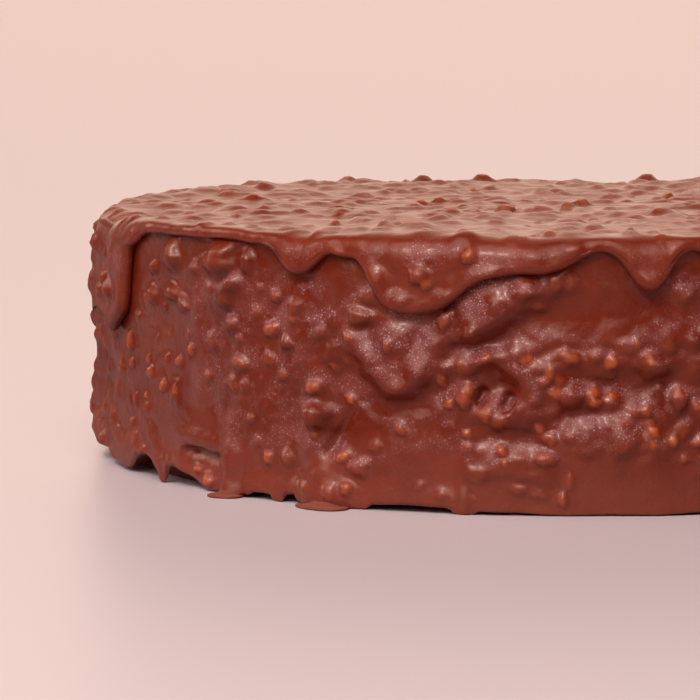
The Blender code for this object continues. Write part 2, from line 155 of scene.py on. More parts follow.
# The height of the poured coat's hem right of those tongues, where it is seen, angle by angle
HEM_STARTS, HEM_ENDS = (-61.0, -57.5), (13.0, 15.0)
HEM_SEEN = (
    (-59.0, 50.6), (-57.0, 51.6), (-54.0, 52.0), (-36.0, 52.0), (-34.8, 51.7), (-34.0, 50.6),
    (-33.2, 49.0), (-32.4, 47.7), (-31.5, 46.8), (-30.6, 46.4), (-29.6, 46.7), (-28.7, 47.7),
    (-27.7, 49.5), (-26.7, 50.9), (-25.7, 50.4), (-24.4, 49.7), (-23.4, 49.8), (-22.7, 48.8),
    (-21.9, 45.6), (-20.3, 41.4), (-19.2, 39.7), (-17.9, 39.1), (-15.8, 39.0), (-13.9, 39.6),
    (-12.3, 41.0), (-10.5, 44.1), (-8.9, 46.0), (-7.0, 47.1), (-5.4, 47.5), (-2.2, 47.6), (-0.2, 48.4),
    (1.3, 49.8), (2.6, 51.2), (3.9, 51.7), (5.0, 51.1), (6.0, 49.3), (6.8, 46.8), (7.6, 44.6),
    (8.7, 43.3), (9.8, 43.8), (10.7, 45.5), (11.4, 48.0), (12.0, 50.1), (13.2, 51.6), (14.4, 52.0),
)

FRONT_RUNS = [
    # the broad swag at the right of the widest tongue, and the hollow under it
    Run(((-0.5, 44.5, 4.2, 0.9), (-4.0, 42.2, 5.6, 2.1), (-7.2, 39.8, 6.4, 2.9), (-10.0, 36.8, 5.6, 2.7),
         (-12.2, 34.6, 3.4, 1.5)), 0.9),
    Run(((-13.8, 31.2, 2.4, -0.7), (-10.8, 32.0, 2.8, -1.3), (-6.5, 34.0, 3.0, -1.2),
         (-1.5, 36.8, 3.2, -0.5)), 0.0),
    # the long shelf that starts left of the pit and runs away to the right
    Run(((-14.6, 26.4, 3.4, 0.5), (-12.2, 28.6, 4.0, 1.1), (-9.0, 30.4, 4.4, 1.5), (-5.0, 32.4, 4.4, 1.2),
         (-1.0, 34.2, 4.4, 1.0), (4.0, 34.4, 4.8, 1.1), (9.0, 34.5, 5.0, 1.2), (14.0, 34.8, 4.8, 1.0),
         (20.0, 34.0, 4.0, 0.5)), 0.6),
    # the pit under its arch, with two deep holes
    Run(((-9.2, 25.4, 3.0, -1.2), (-7.4, 26.0, 3.0, -1.9), (-5.8, 24.6, 2.6, -1.6)), -0.3),
    Run(((-6.0, 23.2, 1.7, -3.2), (-6.3, 21.8, 1.6, -2.8)), 0.0),
    Run(((-9.0, 24.2, 1.5, -2.4), (-9.5, 22.8, 1.4, -2.2)), 0.0),
    # the ridge right of the pit and the belly below it
    Run(((-5.3, 30.5, 3.0, 0.8), (-4.0, 27.6, 3.6, 1.4), (-4.0, 24.0, 4.2, 1.4), (-4.8, 20.6, 4.6, 1.6),
         (-6.0, 18.2, 4.0, 1.2)), 0.4),
    # the valley that curls round the belly
    Run(((-9.0, 15.4, 2.4, -0.4), (-5.5, 14.6, 3.0, -0.9), (-2.6, 15.0, 3.0, -1.0), (-1.2, 17.4, 2.8, -1.1),
         (-0.2, 19.8, 2.6, -1.0), (2.2, 20.2, 2.4, -0.6), (5.5, 21.5, 2.4, -0.3)), 0.0),
    # the nutty swells right of it and the hollow between them
    Run(((-1.8, 29.0, 3.6, 0.6), (2.5, 29.8, 4.4, 1.0), (8.0, 30.2, 4.4, 1.0), (13.5, 30.4, 4.0, 0.8)), 0.4),
    Run(((2.2, 26.6, 2.8, -0.3), (5.0, 25.4, 3.4, -0.9), (8.0, 25.4, 3.8, -1.1),
         (11.5, 26.2, 3.4, -0.7)), 0.0),
    Run(((-1.2, 26.4, 3.2, 0.6), (0.8, 23.8, 3.8, 1.0), (4.5, 22.0, 3.4, 0.6)), 0.4),
    # the low hump, and the soft lens left of it
    Run(((1.8, 15.6, 6.0, 0.6), (6.0, 14.4, 8.0, 0.9), (9.8, 13.4, 6.0, 0.6)), 0.15),
    Run(((-9.5, 9.2, 3.4, 0.4), (-5.8, 8.8, 3.8, 0.8), (-2.2, 7.4, 3.4, 0.6)), 0.6),
    # the pouch under the widest tongue, which narrows to a point, and the soft crease round it
    Run(((-25.4, 36.4, 4.4, 1.0), (-23.4, 31.8, 4.8, 1.9), (-21.0, 27.6, 4.4, 2.4),
         (-18.6, 24.0, 3.4, 2.4)), 0.7),
    Run(((-13.0, 35.6, 4.2, 1.0), (-14.2, 31.8, 4.6, 2.0), (-15.8, 27.8, 4.4, 2.5),
         (-17.8, 24.0, 3.4, 2.4)), 0.7),
    Run(((-19.6, 36.6, 6.0, 1.3), (-19.0, 32.4, 7.0, 2.0), (-18.6, 28.2, 6.2, 2.2),
         (-18.4, 24.2, 4.4, 1.9)), 0.7),
    Run(((-26.0, 27.4, 2.6, -0.3), (-23.2, 23.2, 3.2, -0.5), (-19.4, 20.0, 3.4, -0.4),
         (-15.4, 21.6, 2.8, -0.9), (-12.6, 26.0, 2.6, -1.0), (-11.0, 29.4, 2.4, -0.6)), 0.0),
    # the swell between the second and third tongues, and the one under it
    Run(((-25.2, 44.6, 4.0, 0.7), (-24.2, 40.6, 4.8, 1.0), (-23.4, 37.6, 4.2, 0.8)), 0.4),
    Run(((-29.0, 33.6, 4.0, 0.5), (-27.0, 30.6, 4.6, 0.8), (-25.4, 28.6, 3.6, 0.5)), 0.5),
    # the ridge that comes down from the second tongue into a column and the widest foot
    Run(((-32.6, 44.6, 3.8, 0.5), (-31.6, 38.4, 4.6, 0.9), (-30.4, 33.0, 4.2, 0.7), (-29.2, 28.4, 3.4, 0.8),
         (-28.8, 24.0, 3.2, 1.2), (-28.7, 19.5, 3.8, 1.8), (-29.0, 14.5, 3.6, 1.6), (-28.6, 10.5, 4.2, 1.6),
         (-27.6, 6.0, 5.8, 2.0), (-27.1, 1.0, 7.4, 2.6)), 0.2),
    Run(((-24.8, 18.4, 1.6, -0.6), (-25.8, 14.8, 1.8, -1.8), (-26.8, 11.2, 1.6, -1.2)), 0.0),
    # the column of the next foot
    Run(((-41.2, 14.0, 3.4, 0.5), (-41.0, 8.0, 3.2, 1.5), (-40.9, 3.0, 3.4, 2.1),
         (-40.9, 0.0, 4.2, 2.6)), 0.2),
    # the smooth lip over the recess
    Run(((-50.0, 10.2, 1.8, 0.3), (-47.0, 10.4, 2.0, 0.5), (-43.8, 9.8, 1.9, 0.4)), 0.8),
    # the flare of the coat just above the base at the left
    Run(((-66.0, 3.0, 3.6, 0.7), (-58.0, 4.6, 3.0, 0.8), (-50.0, 3.0, 3.0, 0.7), (-46.0, 1.5, 3.4, 0.8),
         (-36.0, 1.5, 4.0, 1.0), (-31.0, 1.5, 4.0, 1.0), (-20.0, 1.5, 4.6, 0.9), (-8.0, 1.0, 4.0, 0.6)), 0.2),
    # the short drip right of the widest foot
    Run(((-11.2, 6.4, 2.0, 0.3), (-11.1, 3.6, 2.2, 0.8), (-11.0, 0.6, 2.0, 1.0)), 0.2),
    # soft upright runs on the left
    Run(((-47.2, 44.0, 3.4, 0.4), (-46.8, 33.0, 4.0, 0.5), (-46.6, 20.0, 3.6, 0.4)), 0.2),
    Run(((-39.2, 43.0, 3.6, 0.5), (-39.0, 34.0, 4.0, 0.6), (-39.2, 22.0, 4.0, 0.5)), 0.2),
    Run(((-79.0, 50.0, 9.0, 1.0), (-82.0, 43.0, 9.0, 1.3), (-83.0, 35.0, 8.0, 2.1), (-84.0, 30.5, 8.0, 2.2),
         (-84.5, 26.0, 6.0, 0.8)), 0.2),
    Run(((-84.0, 11.0, 3.0, 1.0), (-80.0, 6.4, 4.0, 2.6), (-77.0, 4.4, 3.4, 2.0)), 0.2),
    Run(((-70.0, 8.0, 3.4, 0.8), (-66.5, 5.0, 3.6, 1.3), (-62.0, 5.0, 3.2, 1.0)), 0.3),
    # the slender drip, which narrows from a soft cone
    Run(((-58.6, 11.0, 3.4, 0.5), (-56.4, 7.8, 3.2, 0.9), (-55.0, 4.4, 2.0, 0.9),
         (-54.5, 1.0, 1.2, 0.5)), 0.2),
    # the deep groove between the left tongue and its sheet
    Run(((-69.4, 46.0, 1.8, -0.5), (-69.0, 40.0, 2.0, -0.9), (-68.8, 35.0, 1.8, -0.7)), 0.0),
]

FRONT_FEET = [Foot(-40.9, 5.6, 0.5), Foot(-27.1, 9.6, 1.2)]

# The height of the lower edge where it is seen, angle by angle, with a slender drip near -54
EDGE_STARTS, EDGE_ENDS = (-84.0, -78.0), (15.0, 19.0)
EDGE_SEEN = (
    (-80.0, 3.6), (-76.0, 3.0), (-73.0, 1.6), (-66.0, 0.7), (-64.4, 0.9), (-63.0, 2.6), (-61.2, 4.3),
    (-59.0, 5.0), (-57.6, 4.6), (-56.4, 3.4), (-55.4, 1.7), (-54.9, 0.1), (-54.1, 0.1), (-53.6, 1.7),
    (-52.9, 3.4), (-51.9, 3.9), (-50.4, 3.2), (-48.8, 2.3), (-47.6, 1.5), (-46.5, 0.7), (-45.2, 0.1),
    (-44.0, 0.3), (-42.6, 0.6), (-38.2, 0.6), (-37.6, 1.2), (-36.0, 1.3), (-34.9, 1.1), (-34.4, 0.1),
    (-33.2, 0.1), (-32.8, 1.5), (-31.4, 1.7), (-30.9, 0.6), (-22.3, 0.1), (-21.6, 1.0), (-18.0, 1.3),
    (-13.2, 1.1), (-12.5, 0.8), (-12.1, 0.1), (-9.9, 0.1), (-9.4, 0.6), (-5.0, 0.5), (0.0, 0.1),
    (5.0, 0.3), (10.0, 0.15), (15.0, 0.5), (19.0, 1.4),
)

# The recess above the base, left of a column: its upper edge as angles and heights, and its depth
RECESS_STARTS, RECESS_ENDS = (-50.6, -48.4), (-43.2, -42.7)
RECESS_TOP = ((-50.6, 7.4), (-49.6, 8.6), (-48.4, 9.0), (-46.8, 8.9), (-44.6, 8.3), (-42.8, 8.1))
RECESS_DEPTH = 1.7

# Soft mounds of the side and of the top: for each size of mound the wavelength and rise in mm, and a seed
SIDE_MOUNDS = ((9.0, 0.3, 8), (4.6, 0.14, 9))
TOP_MOUNDS = ((15.0, 0.3, 3), (7.5, 0.16, 4))

# Nearly bare nuts seen on the side: angle, height, the nut's width and height, and its lean anticlockwise
BARE_NUTS: list[SideNut] = [
    (-34.8, 34.4, 3.8, 3.5, 0), (-34.2, 41.0, 3.1, 2.4, 10), (-62.8, 28.0, 2.3, 4.0, 0),
    (-62.6, 23.5, 2.3, 2.3, 0), (-57.2, 22.6, 2.8, 2.6, 0), (-50.6, 25.8, 2.6, 2.4, 0),
    (-47.8, 28.6, 2.2, 2.6, 0), (-44.9, 23.9, 2.0, 1.9, 0), (-54.0, 20.2, 2.4, 3.0, -20),
    (-51.4, 20.0, 2.0, 1.9, 0), (-39.2, 27.2, 3.8, 3.3, 0), (-33.2, 25.6, 2.1, 1.9, 0),
    (-63.0, 11.0, 2.2, 2.2, 0), (-47.3, 4.2, 2.4, 1.6, 0), (-45.2, 2.2, 3.0, 2.6, 0),
    (-35.2, 8.6, 2.0, 3.0, 0), (-13.2, 38.0, 2.5, 4.4, -24), (-24.2, 34.0, 1.9, 1.9, 0),
    (-19.4, 32.5, 1.8, 2.5, 0), (-28.6, 23.6, 4.6, 2.6, 4), (-24.4, 21.6, 1.9, 1.9, 0),
    (-18.2, 16.3, 1.8, 2.8, 15), (-25.0, 10.2, 3.4, 2.1, 20), (-24.4, 4.0, 2.2, 3.0, 0),
    (-12.7, 21.6, 2.0, 1.9, 0), (-8.7, 20.2, 3.6, 2.4, 8), (-1.7, 28.2, 2.1, 2.6, 0),
    (0.4, 31.3, 4.4, 2.7, -35), (3.2, 22.2, 2.4, 2.3, 0), (-2.1, 11.3, 4.0, 2.9, 8),
    (-6.9, 12.9, 2.3, 1.9, 0), (-0.2, 3.2, 1.6, 3.4, 0), (-31.5, 36.8, 1.8, 1.6, 0),
    (-13.5, 25.9, 2.1, 1.9, 0), (-10.8, 23.0, 4.0, 4.8, -15), (-57.8, 25.2, 1.9, 1.9, 0),
]

# Those that stand out as lumps in the chocolate
LUMPS_SEEN: list[SideNut] = [
    (-51.4, 47.6, 5.0, 5.6, 0), (-42.6, 47.6, 7.0, 6.2, 0), (-56.4, 44.6, 3.0, 2.6, 0),
    (-40.8, 42.6, 5.6, 3.2, 40), (-51.8, 39.9, 5.6, 3.0, -15), (-49.4, 37.8, 3.4, 3.4, 20),
    (-38.2, 47.6, 3.0, 4.4, 0), (-41.4, 39.6, 3.4, 3.6, 0), (-47.1, 45.6, 2.2, 2.2, 0),
    (-40.6, 34.9, 3.2, 3.4, 0), (-32.6, 32.0, 3.1, 2.7, 0), (-56.6, 38.7, 4.2, 3.2, -20),
    (-4.4, 44.4, 4.7, 4.6, 0), (-10.2, 35.0, 3.2, 3.0, 0), (9.6, 28.6, 4.6, 4.0, 0),
    (0.6, 23.2, 4.4, 4.2, 0), (-22.9, 38.0, 4.6, 3.4, 0), (12.4, 22.6, 4.0, 3.8, 0),
    (-28.5, 18.0, 6.0, 4.6, 0),
]

# Those that lie under a thicker coat
COVERED_NUTS: list[SideNut] = [
    (-82.5, 17.0, 4.4, 4.6, 0), (-79.0, 27.0, 4.4, 4.2, 0), (-71.0, 30.0, 3.8, 4.4, 0),
    (-66.0, 22.0, 3.2, 3.6, 0), (-74.0, 20.0, 4.2, 4.0, 0), (-70.0, 11.0, 3.6, 3.8, 0),
    (-62.0, 8.0, 3.2, 3.4, 0), (-78.0, 11.0, 4.0, 3.4, 0), (-84.0, 29.5, 3.4, 3.6, 0),
    (-61.6, 16.0, 3.0, 3.4, 0), (-52.2, 45.4, 2.3, 2.3, 0), (-55.9, 45.0, 2.1, 2.3, 0),
    (-48.0, 45.1, 1.7, 2.3, 0), (-58.8, 37.5, 2.1, 2.1, 0), (-39.4, 32.0, 2.1, 1.9, 0),
    (-48.6, 31.5, 2.0, 2.3, 0), (-52.2, 18.9, 2.5, 2.1, 0), (-35.3, 28.4, 2.9, 2.7, 0),
    (-40.6, 22.8, 3.5, 2.9, -20), (-38.7, 22.7, 2.3, 2.1, 0), (-59.0, 6.4, 2.7, 2.5, 0),
    (-36.9, 11.6, 1.9, 1.9, 0), (-32.6, 9.0, 2.7, 3.4, 30), (-21.7, 42.4, 3.4, 3.6, 0),
    (-29.8, 3.6, 1.9, 1.9, 0), (-31.3, 39.2, 3.1, 3.2, 0), (-23.0, 8.2, 4.0, 3.6, 0),
    (-26.3, 3.2, 2.9, 3.2, 0), (-1.1, 45.4, 2.7, 3.4, 0), (0.7, 45.3, 2.1, 2.4, 0),
    (-2.8, 40.9, 2.3, 1.9, 0), (13.0, 43.2, 3.5, 3.3, 0), (3.4, 31.6, 4.1, 2.6, 0),
    (6.6, 33.0, 4.5, 2.5, -15), (5.0, 31.5, 1.9, 1.9, 0), (8.8, 31.0, 3.9, 2.8, 0),
    (11.2, 33.2, 2.7, 2.5, 0), (13.8, 33.5, 2.7, 2.7, 0), (-0.6, 26.4, 2.3, 2.9, 0),
    (1.0, 25.5, 1.8, 1.8, 0), (4.8, 22.9, 2.5, 2.3, 0), (7.6, 20.6, 2.9, 2.5, 0),
    (13.0, 16.9, 3.3, 3.1, 0), (10.4, 19.4, 2.3, 2.1, 0), (0.6, 15.6, 2.7, 2.1, 0),
    (6.3, 14.6, 5.2, 5.0, 0), (6.5, 18.3, 3.5, 2.7, 0), (9.4, 15.2, 2.7, 2.9, 0),
    (-5.0, 5.2, 3.4, 2.0, -10), (-2.8, 4.4, 3.2, 2.0, -10), (-9.6, 7.8, 3.9, 3.3, 0),
    (0.5, 6.7, 1.6, 3.2, 0), (-16.0, 5.2, 1.8, 1.7, 0), (-13.5, 3.8, 2.1, 1.9, 0),
    (-7.2, 18.4, 3.3, 2.9, 0), (-12.0, 23.6, 2.5, 2.5, 0), (9.2, 28.8, 4.4, 2.0, 10),
    (-8.9, 30.3, 2.7, 1.8, 20), (-82.0, 20.0, 4.0, 3.6, 0), (-77.0, 25.5, 3.4, 3.2, 0),
    (-69.0, 27.0, 3.2, 3.6, 0), (-68.0, 17.0, 3.0, 3.2, 0), (-75.0, 14.0, 3.4, 3.0, 0),
    (-58.5, 15.0, 2.8, 2.4, 0), (-44.0, 31.0, 3.0, 3.4, 0), (-60.8, 33.5, 2.6, 2.4, 0),
    (-54.2, 36.5, 2.4, 2.2, 0), (-44.3, 42.2, 2.6, 2.0, 0), (-37.0, 37.6, 2.4, 2.2, 0),
    (-27.6, 34.6, 2.4, 2.6, 0), (-21.2, 12.6, 2.4, 2.2, 0),
]

# Places on the side that stayed smooth: angle, height, half sizes in degrees and mm, and how much
CALM_PLACES: list[SidePlace] = [
    (3.0, 40.5, 8.5, 4.2, 1.0), (9.0, 5.0, 9.0, 5.0, 1.0), (-15.5, 8.0, 5.0, 4.0, 1.0),
    (-50.0, 13.0, 8.0, 4.0, 1.0), (-47.2, 5.6, 3.4, 3.6, 1.0), (-25.0, 47.0, 2.6, 4.0, 1.0),
    (-22.0, 15.0, 2.6, 4.0, 1.0), (-18.4, 20.0, 4.0, 1.6, 1.0),
]

# Where the chocolate is lumpier, in the same order
LUMPY_PLACES: list[SidePlace] = [
    (4.0, 25.0, 12.0, 9.0, 0.9), (-20.0, 33.0, 6.0, 6.0, 0.5), (-9.0, 19.0, 5.0, 6.0, 0.6),
    (-46.0, 40.0, 12.0, 8.0, 0.3),
]

# Where only soft waves show between the nuts, in the same order
SOFT_PLACES: list[SidePlace] = [
    (-76.0, 25.0, 18.0, 40.0, 0.75), (-48.0, 24.0, 6.0, 14.0, 0.6),
]

# Where dew has gathered on the side, in the same order
DEWY_PLACES: list[SidePlace] = [
    (-31.0, 37.5, 4.5, 6.5, 0.85), (-25.5, 45.5, 3.0, 4.0, 0.5), (-20.0, 34.0, 6.0, 5.5, 0.8),
    (-28.0, 30.0, 4.0, 5.0, 0.65), (-36.0, 20.0, 6.0, 7.0, 0.6), (-40.0, 34.0, 3.0, 4.0, 0.7),
    (-46.0, 28.0, 4.0, 5.0, 0.6), (-42.5, 23.0, 5.0, 8.0, 0.8), (-12.0, 28.5, 4.0, 3.5, 1.0),
    (-6.5, 42.0, 5.5, 5.0, 1.2), (-4.0, 28.0, 3.5, 6.0, 0.8), (5.0, 34.0, 12.0, 3.4, 0.8),
    (4.0, 14.0, 6.5, 6.0, 0.5), (12.5, 23.0, 3.0, 5.0, 0.8), (-20.0, 14.0, 5.0, 5.5, 0.7),
    (-9.0, 12.5, 3.0, 4.0, 0.7), (-1.0, 26.0, 3.0, 4.0, 0.8), (-23.0, 9.5, 2.0, 2.5, 0.9),
    (-48.0, 38.0, 2.5, 3.0, 0.4), (-16.0, 8.0, 4.0, 3.0, 0.4), (-24.0, 22.0, 4.0, 4.0, 0.6),
    (-32.5, 9.0, 1.5, 2.0, 0.8), (13.0, 45.0, 2.5, 3.0, 0.8),
]

# Nuts seen in the poured coat's tongues: angle, height, the nut's width and height
POUR_NUTS_SEEN: list[tuple[float, float, float, float, Cover]] = [
    (-15.8, 46.6, 3.6, 3.4, Cover.LUMP), (-14.9, 44.9, 2.3, 2.2, Cover.THIN),
    (-10.3, 50.6, 3.0, 3.0, Cover.THIN), (0.9, 52.2, 2.4, 1.8, Cover.THICK),
    (-17.6, 42.4, 4.2, 3.2, Cover.DEEP), (-20.6, 46.0, 3.6, 3.6, Cover.DEEP),
    (-13.2, 42.6, 3.2, 3.0, Cover.DEEP), (-3.6, 50.4, 5.0, 3.6, Cover.DEEP),
    (-25.4, 50.6, 2.4, 1.8, Cover.THICK), (-66.0, 45.0, 3.8, 4.4, Cover.DEEP),
    (-66.4, 38.6, 3.6, 3.8, Cover.LUMP), (-73.0, 40.0, 4.2, 4.4, Cover.LUMP),
    (-83.0, 44.0, 4.6, 4.6, Cover.THICK), (-82.4, 38.2, 5.4, 5.0, Cover.THICK),
    (-77.5, 47.0, 4.2, 3.8, Cover.LUMP), (-70.5, 46.0, 3.4, 3.4, Cover.LUMP),
    (-76.0, 37.0, 4.0, 3.8, Cover.LUMP), (-85.0, 49.6, 3.8, 3.4, Cover.LUMP),
    (-35.2, 50.6, 3.0, 2.4, Cover.THICK), (8.9, 45.6, 3.6, 3.0, Cover.DEEP),
]

# Nuts seen on its top: x, y and size
TOP_NUTS: list[tuple[float, float, float, Cover]] = [
    (-55.3, -79.3, 4.0, Cover.THICK), (-47.1, -64.3, 3.4, Cover.THIN), (-36.7, -75.3, 3.0, Cover.THIN),
    (-31.2, -77.9, 3.6, Cover.THICK), (-35.5, 92.5, 4.3, Cover.LUMP), (-20.9, 95.5, 4.5, Cover.LUMP),
    (19.6, 95.0, 5.8, Cover.LUMP), (10.3, 21.6, 4.6, Cover.THICK), (-9.0, 6.0, 3.4, Cover.THICK),
    (22.1, 7.9, 3.4, Cover.THICK), (-28.1, 4.8, 3.4, Cover.THIN), (28.1, -12.4, 4.0, Cover.THICK),
    (20.0, -30.0, 5.0, Cover.THICK), (-26.0, -62.0, 4.0, Cover.THICK), (17.0, 84.0, 5.4, Cover.THICK),
    (-52.0, -83.5, 2.6, Cover.THICK), (-48.6, -87.0, 3.0, Cover.THICK),
    (-62.5, -76.0, 2.8, Cover.THICK), (-68.5, -69.0, 3.0, Cover.THICK), (-3.2, -97.5, 3.2, Cover.THIN),
    (12.5, -95.5, 4.4, Cover.THICK), (-14.0, -84.0, 3.4, Cover.THICK), (5.5, -78.0, 3.8, Cover.THICK),
    (-20.0, -91.0, 3.4, Cover.THICK),
]

# The solids' large nuts: those of the side, how many of them are in front, those of the top, how far apart
# they lie in mm, and how often a place is drawn for each
CAKE_NUTS, CAKE_NUTS_SEEN, POUR_NUTS, NUT_APART, NUT_TRIES = 62, 27, 56, 15.0, 200


def smooth_step(value: Array, low: float | Array, high: float | Array) -> Array:
    """0 below low, 1 above high, and 3t^2 - 2t^3 between, with t the way from low to high."""
    t = np.clip((value - low) / (high - low), 0.0, 1.0)
    return t * t * (3.0 - 2.0 * t)


def turn(angle_from: float | Array, angle_to: float | Array) -> Array:
    """The shortest way from one angle to another, in degrees."""
    return (np.asarray(angle_to) - angle_from + 180.0) % 360.0 - 180.0


def near_to(middle: float, angle: Array) -> Array:
    """The same angles, each written within half a turn of a middle one."""
    return middle + turn(middle, angle)


def window(angle: Array, starts: tuple[float, float], ends: tuple[float, float]) -> Array:
    """1 between two places round the cake and 0 beyond them, with a smooth step at each.

    Args:
        angle: places round the cake in degrees.
        starts: the angles over which it rises.
        ends: the angles over which it falls.

    Returns:
        A value from 0 to 1 at each place.
    """
    off = near_to(0.5 * (starts[0] + ends[1]), angle)
    return smooth_step(off, *starts) * (1.0 - smooth_step(off, *ends))


def waves(points: Array, wavelength: float, seed: int, count: int = 28) -> Array:
    """A smooth random field of about -1 to 1: the sum of cosines of plane waves in random directions.

    Args:
        points: places in mm, with x, y and z last.
        wavelength: the mean distance between crests in mm.
        seed: fixes the directions and phases.
        count: how many waves are added.

    Returns:
        One value for each point.
    """
    rng = np.random.default_rng(seed)
    along = rng.normal(size=(count, 3))
    along /= np.linalg.norm(along, axis=1)[:, None]
    along *= 2.0 * math.pi / (wavelength * rng.uniform(0.75, 1.5, count))[:, None]
    phases = rng.uniform(0.0, 2.0 * math.pi, count)
    return np.cos(points @ along.T + phases).sum(axis=-1) / math.sqrt(count)


def place(angle: float | Array, radius: float | Array, height: float | Array) -> Array:
    """The points at these angles, radii and heights: (r sin a, -r cos a, z)."""
    turned_by = np.radians(angle)
    return np.stack(
        np.broadcast_arrays(radius * np.sin(turned_by), -radius * np.cos(turned_by), height), axis=-1
    )


def unseen_angles(rng: np.random.Generator, least_step: float, most_step: float) -> Iterator[float]:
    """Angles through the part of the cake that faces away.

    Args:
        rng: where the steps between them are drawn from.
        least_step: the smallest step in degrees.
        most_step: the largest one.

    Yields:
        The next angle.
    """
    angle = UNSEEN_FROM + rng.uniform(0.0, most_step)
    while angle < UNSEEN_TO:
        yield angle
        angle += rng.uniform(least_step, most_step)


@dataclass
class CakeForm:
    """The sizes and the relief that both coats share. Lengths are mm."""

    coat_radius: float = 102.2
    top: float = 54.4
    coat_top: float = 53.2
    plain_drop: float = 2.9
    hem_unevenness: float = 0.35
    ripple_length: float = 9.0
    least_drop: float = 2.3
    edge: float = 1.7
    last_foot: float = 262.0

    def __post_init__(self) -> None:
        """Draws the tongues, runs and feet of the part that faces away."""
        self.degree = math.radians(1.0) * self.coat_radius
        rng = np.random.default_rng(RUN_SEED)
        self.tongues = FRONT_TONGUES + [
            Tongue(a, rng.uniform(2.6, 5.6), 2.0 + 16.0 * rng.uniform() ** 1.8, rng.uniform(2.8, 4.2))
            for a in unseen_angles(rng, 8.0, 17.0)
        ]
        rng = np.random.default_rng(RUN_SEED + 1)
        self.runs = list(FRONT_RUNS)
        for angle in unseen_angles(rng, 4.5, 8.0):
            start, lean = rng.uniform(20.0, 46.0), rng.uniform(-5.0, 5.0)
            end = max(2.0, start - rng.uniform(7.0, 26.0))
            half_width, rise = rng.uniform(3.0, 5.6), rng.uniform(0.9, 2.2)
            self.runs.append(self.drawn_run(rng, angle, start, lean, end, half_width, rise))
        for angle in unseen_angles(rng, 8.0, 16.0):
            start, lean = rng.uniform(10.0, 38.0), rng.uniform(-7.0, 7.0)
            end = start - rng.uniform(-2.0, 6.0)
            self.runs.append(self.drawn_run(rng, angle, start, lean, end, 2.6, -rng.uniform(0.8, 1.8)))
        rng = np.random.default_rng(RUN_SEED + 2)
        self.feet = FRONT_FEET + [
            Foot(a, rng.uniform(1.6, 6.5)) for a in unseen_angles(rng, 14.0, 34.0) if a < self.last_foot
        ]

    @staticmethod
    def drawn_run(
        rng: np.random.Generator,
        angle: float,
        start: float,
        lean: float,
        end: float,
        half_width: float,
        rise: float,
    ) -> Run:
        """A curved run between two heights that is thin at its ends.

        Args:
            rng: where its bend is drawn from.
            angle: where it starts.
            start: the height of its start.
            lean: how far round it ends.
            end: the height of its end.
            half_width: its half width at the middle.
            rise: its rise at the middle.

        Returns:
            The run.
        """
        bend = rng.uniform(-2.5, 2.5)
        shares = ((0.0, 0.35, 0.7), (0.3, 0.9, 0.95), (0.65, 1.0, 1.05), (0.9, 0.95, 0.9), (1.0, 0.4, 0.6))
        knots = []
        for t, r, w in shares:
            curved = angle + lean * t + bend * math.sin(math.pi * t)
            knots.append((curved, start + (end - start) * t, half_width * w, rise * r))
        return Run(tuple(knots), rng.uniform(0.1, 0.6) if rise > 0.0 else 0.0)

    def hem_drop(self, angle: Array) -> Array:
        """How far the poured coat's hem hangs below the top: a little everywhere, and more in each tongue.

        A tongue reaches length * exp(-|off / half_width|^squareness), and tongues that meet are joined by
        the cube root of the sum of cubes. Where the hem is seen, its drawn line takes their place.

        Args:
            angle: places round the side in degrees.

        Returns:
            The drop in mm at each place.
        """
        reach = np.zeros_like(angle)
        for tongue in self.tongues:
            off = np.abs(turn(tongue.angle, angle)) / tongue.half_width
            reach += (tongue.length * np.exp(-(off**tongue.squareness))) ** 3
        ripple = waves(place(angle, self.coat_radius, 0.0), self.ripple_length, WAVE_SEED + 7)
        drop = self.plain_drop + self.hem_unevenness * ripple + np.cbrt(reach)
        off = near_to(-22.0, angle)
        hem = sum(np.interp(off + step, *np.array(HEM_SEEN).T) for step in (-0.6, -0.3, 0.0, 0.3, 0.6)) / 5.0
        drop += (self.top - hem - drop) * window(angle, HEM_STARTS, HEM_ENDS)
        return np.maximum(drop, self.least_drop)

    def run_relief(self, angle: Array, height: Array) -> Array:
        """How far the runs raise the side: rise * (1 - (away / half_width)^2 / 2)^3 from each run's line.

        Ridges are joined by the cube root of the sum of cubes, which leaves a soft crease where two
        meet, and so are hollows.

        Args:
            angle: places round the side in degrees.
            height: their heights in mm.

        Returns:
            The rise in mm at each place.
        """
        angle, height = (np.ravel(a) for a in np.broadcast_arrays(angle, height))
        ridges, hollows = np.zeros(angle.size), np.zeros(angle.size)
        for run in self.runs:
            knots = np.array(run.knots)
            reach = 0.5 * np.ptp(knots[:, 0]) + 1.5 * knots[:, 2].max() / self.degree
            middle = 0.5 * (knots[:, 0].max() + knots[:, 0].min())
            near = np.flatnonzero(np.abs(turn(middle, angle)) < reach)
            raised = np.zeros(near.size)
            for first, second in zip(knots[:-1], knots[1:]):
                across, up = turn(first[0], angle[near]) * self.degree, height[near] - first[1]
                run_across, run_up = (second[0] - first[0]) * self.degree, second[1] - first[1]
                along = np.clip((across * run_across + up * run_up) / (run_across**2 + run_up**2), 0.0, 1.0)
                across, up = across - along * run_across, up - along * run_up
                up *= np.where(up < 0.0, 1.0 + run.steep, 1.0 - 0.2 * run.steep)
                half_width, rise = (first[i] + (second[i] - first[i]) * along for i in (2, 3))
                away = (across**2 + up**2) / half_width**2
                raised = np.maximum(raised, np.abs(rise) * np.clip(1.0 - 0.5 * away, 0.0, 1.0) ** 3)
            target = ridges if knots[:, 3].sum() > 0.0 else hollows
            target[near] = np.cbrt(target[near] ** 3 + raised**3)
        return ridges - hollows

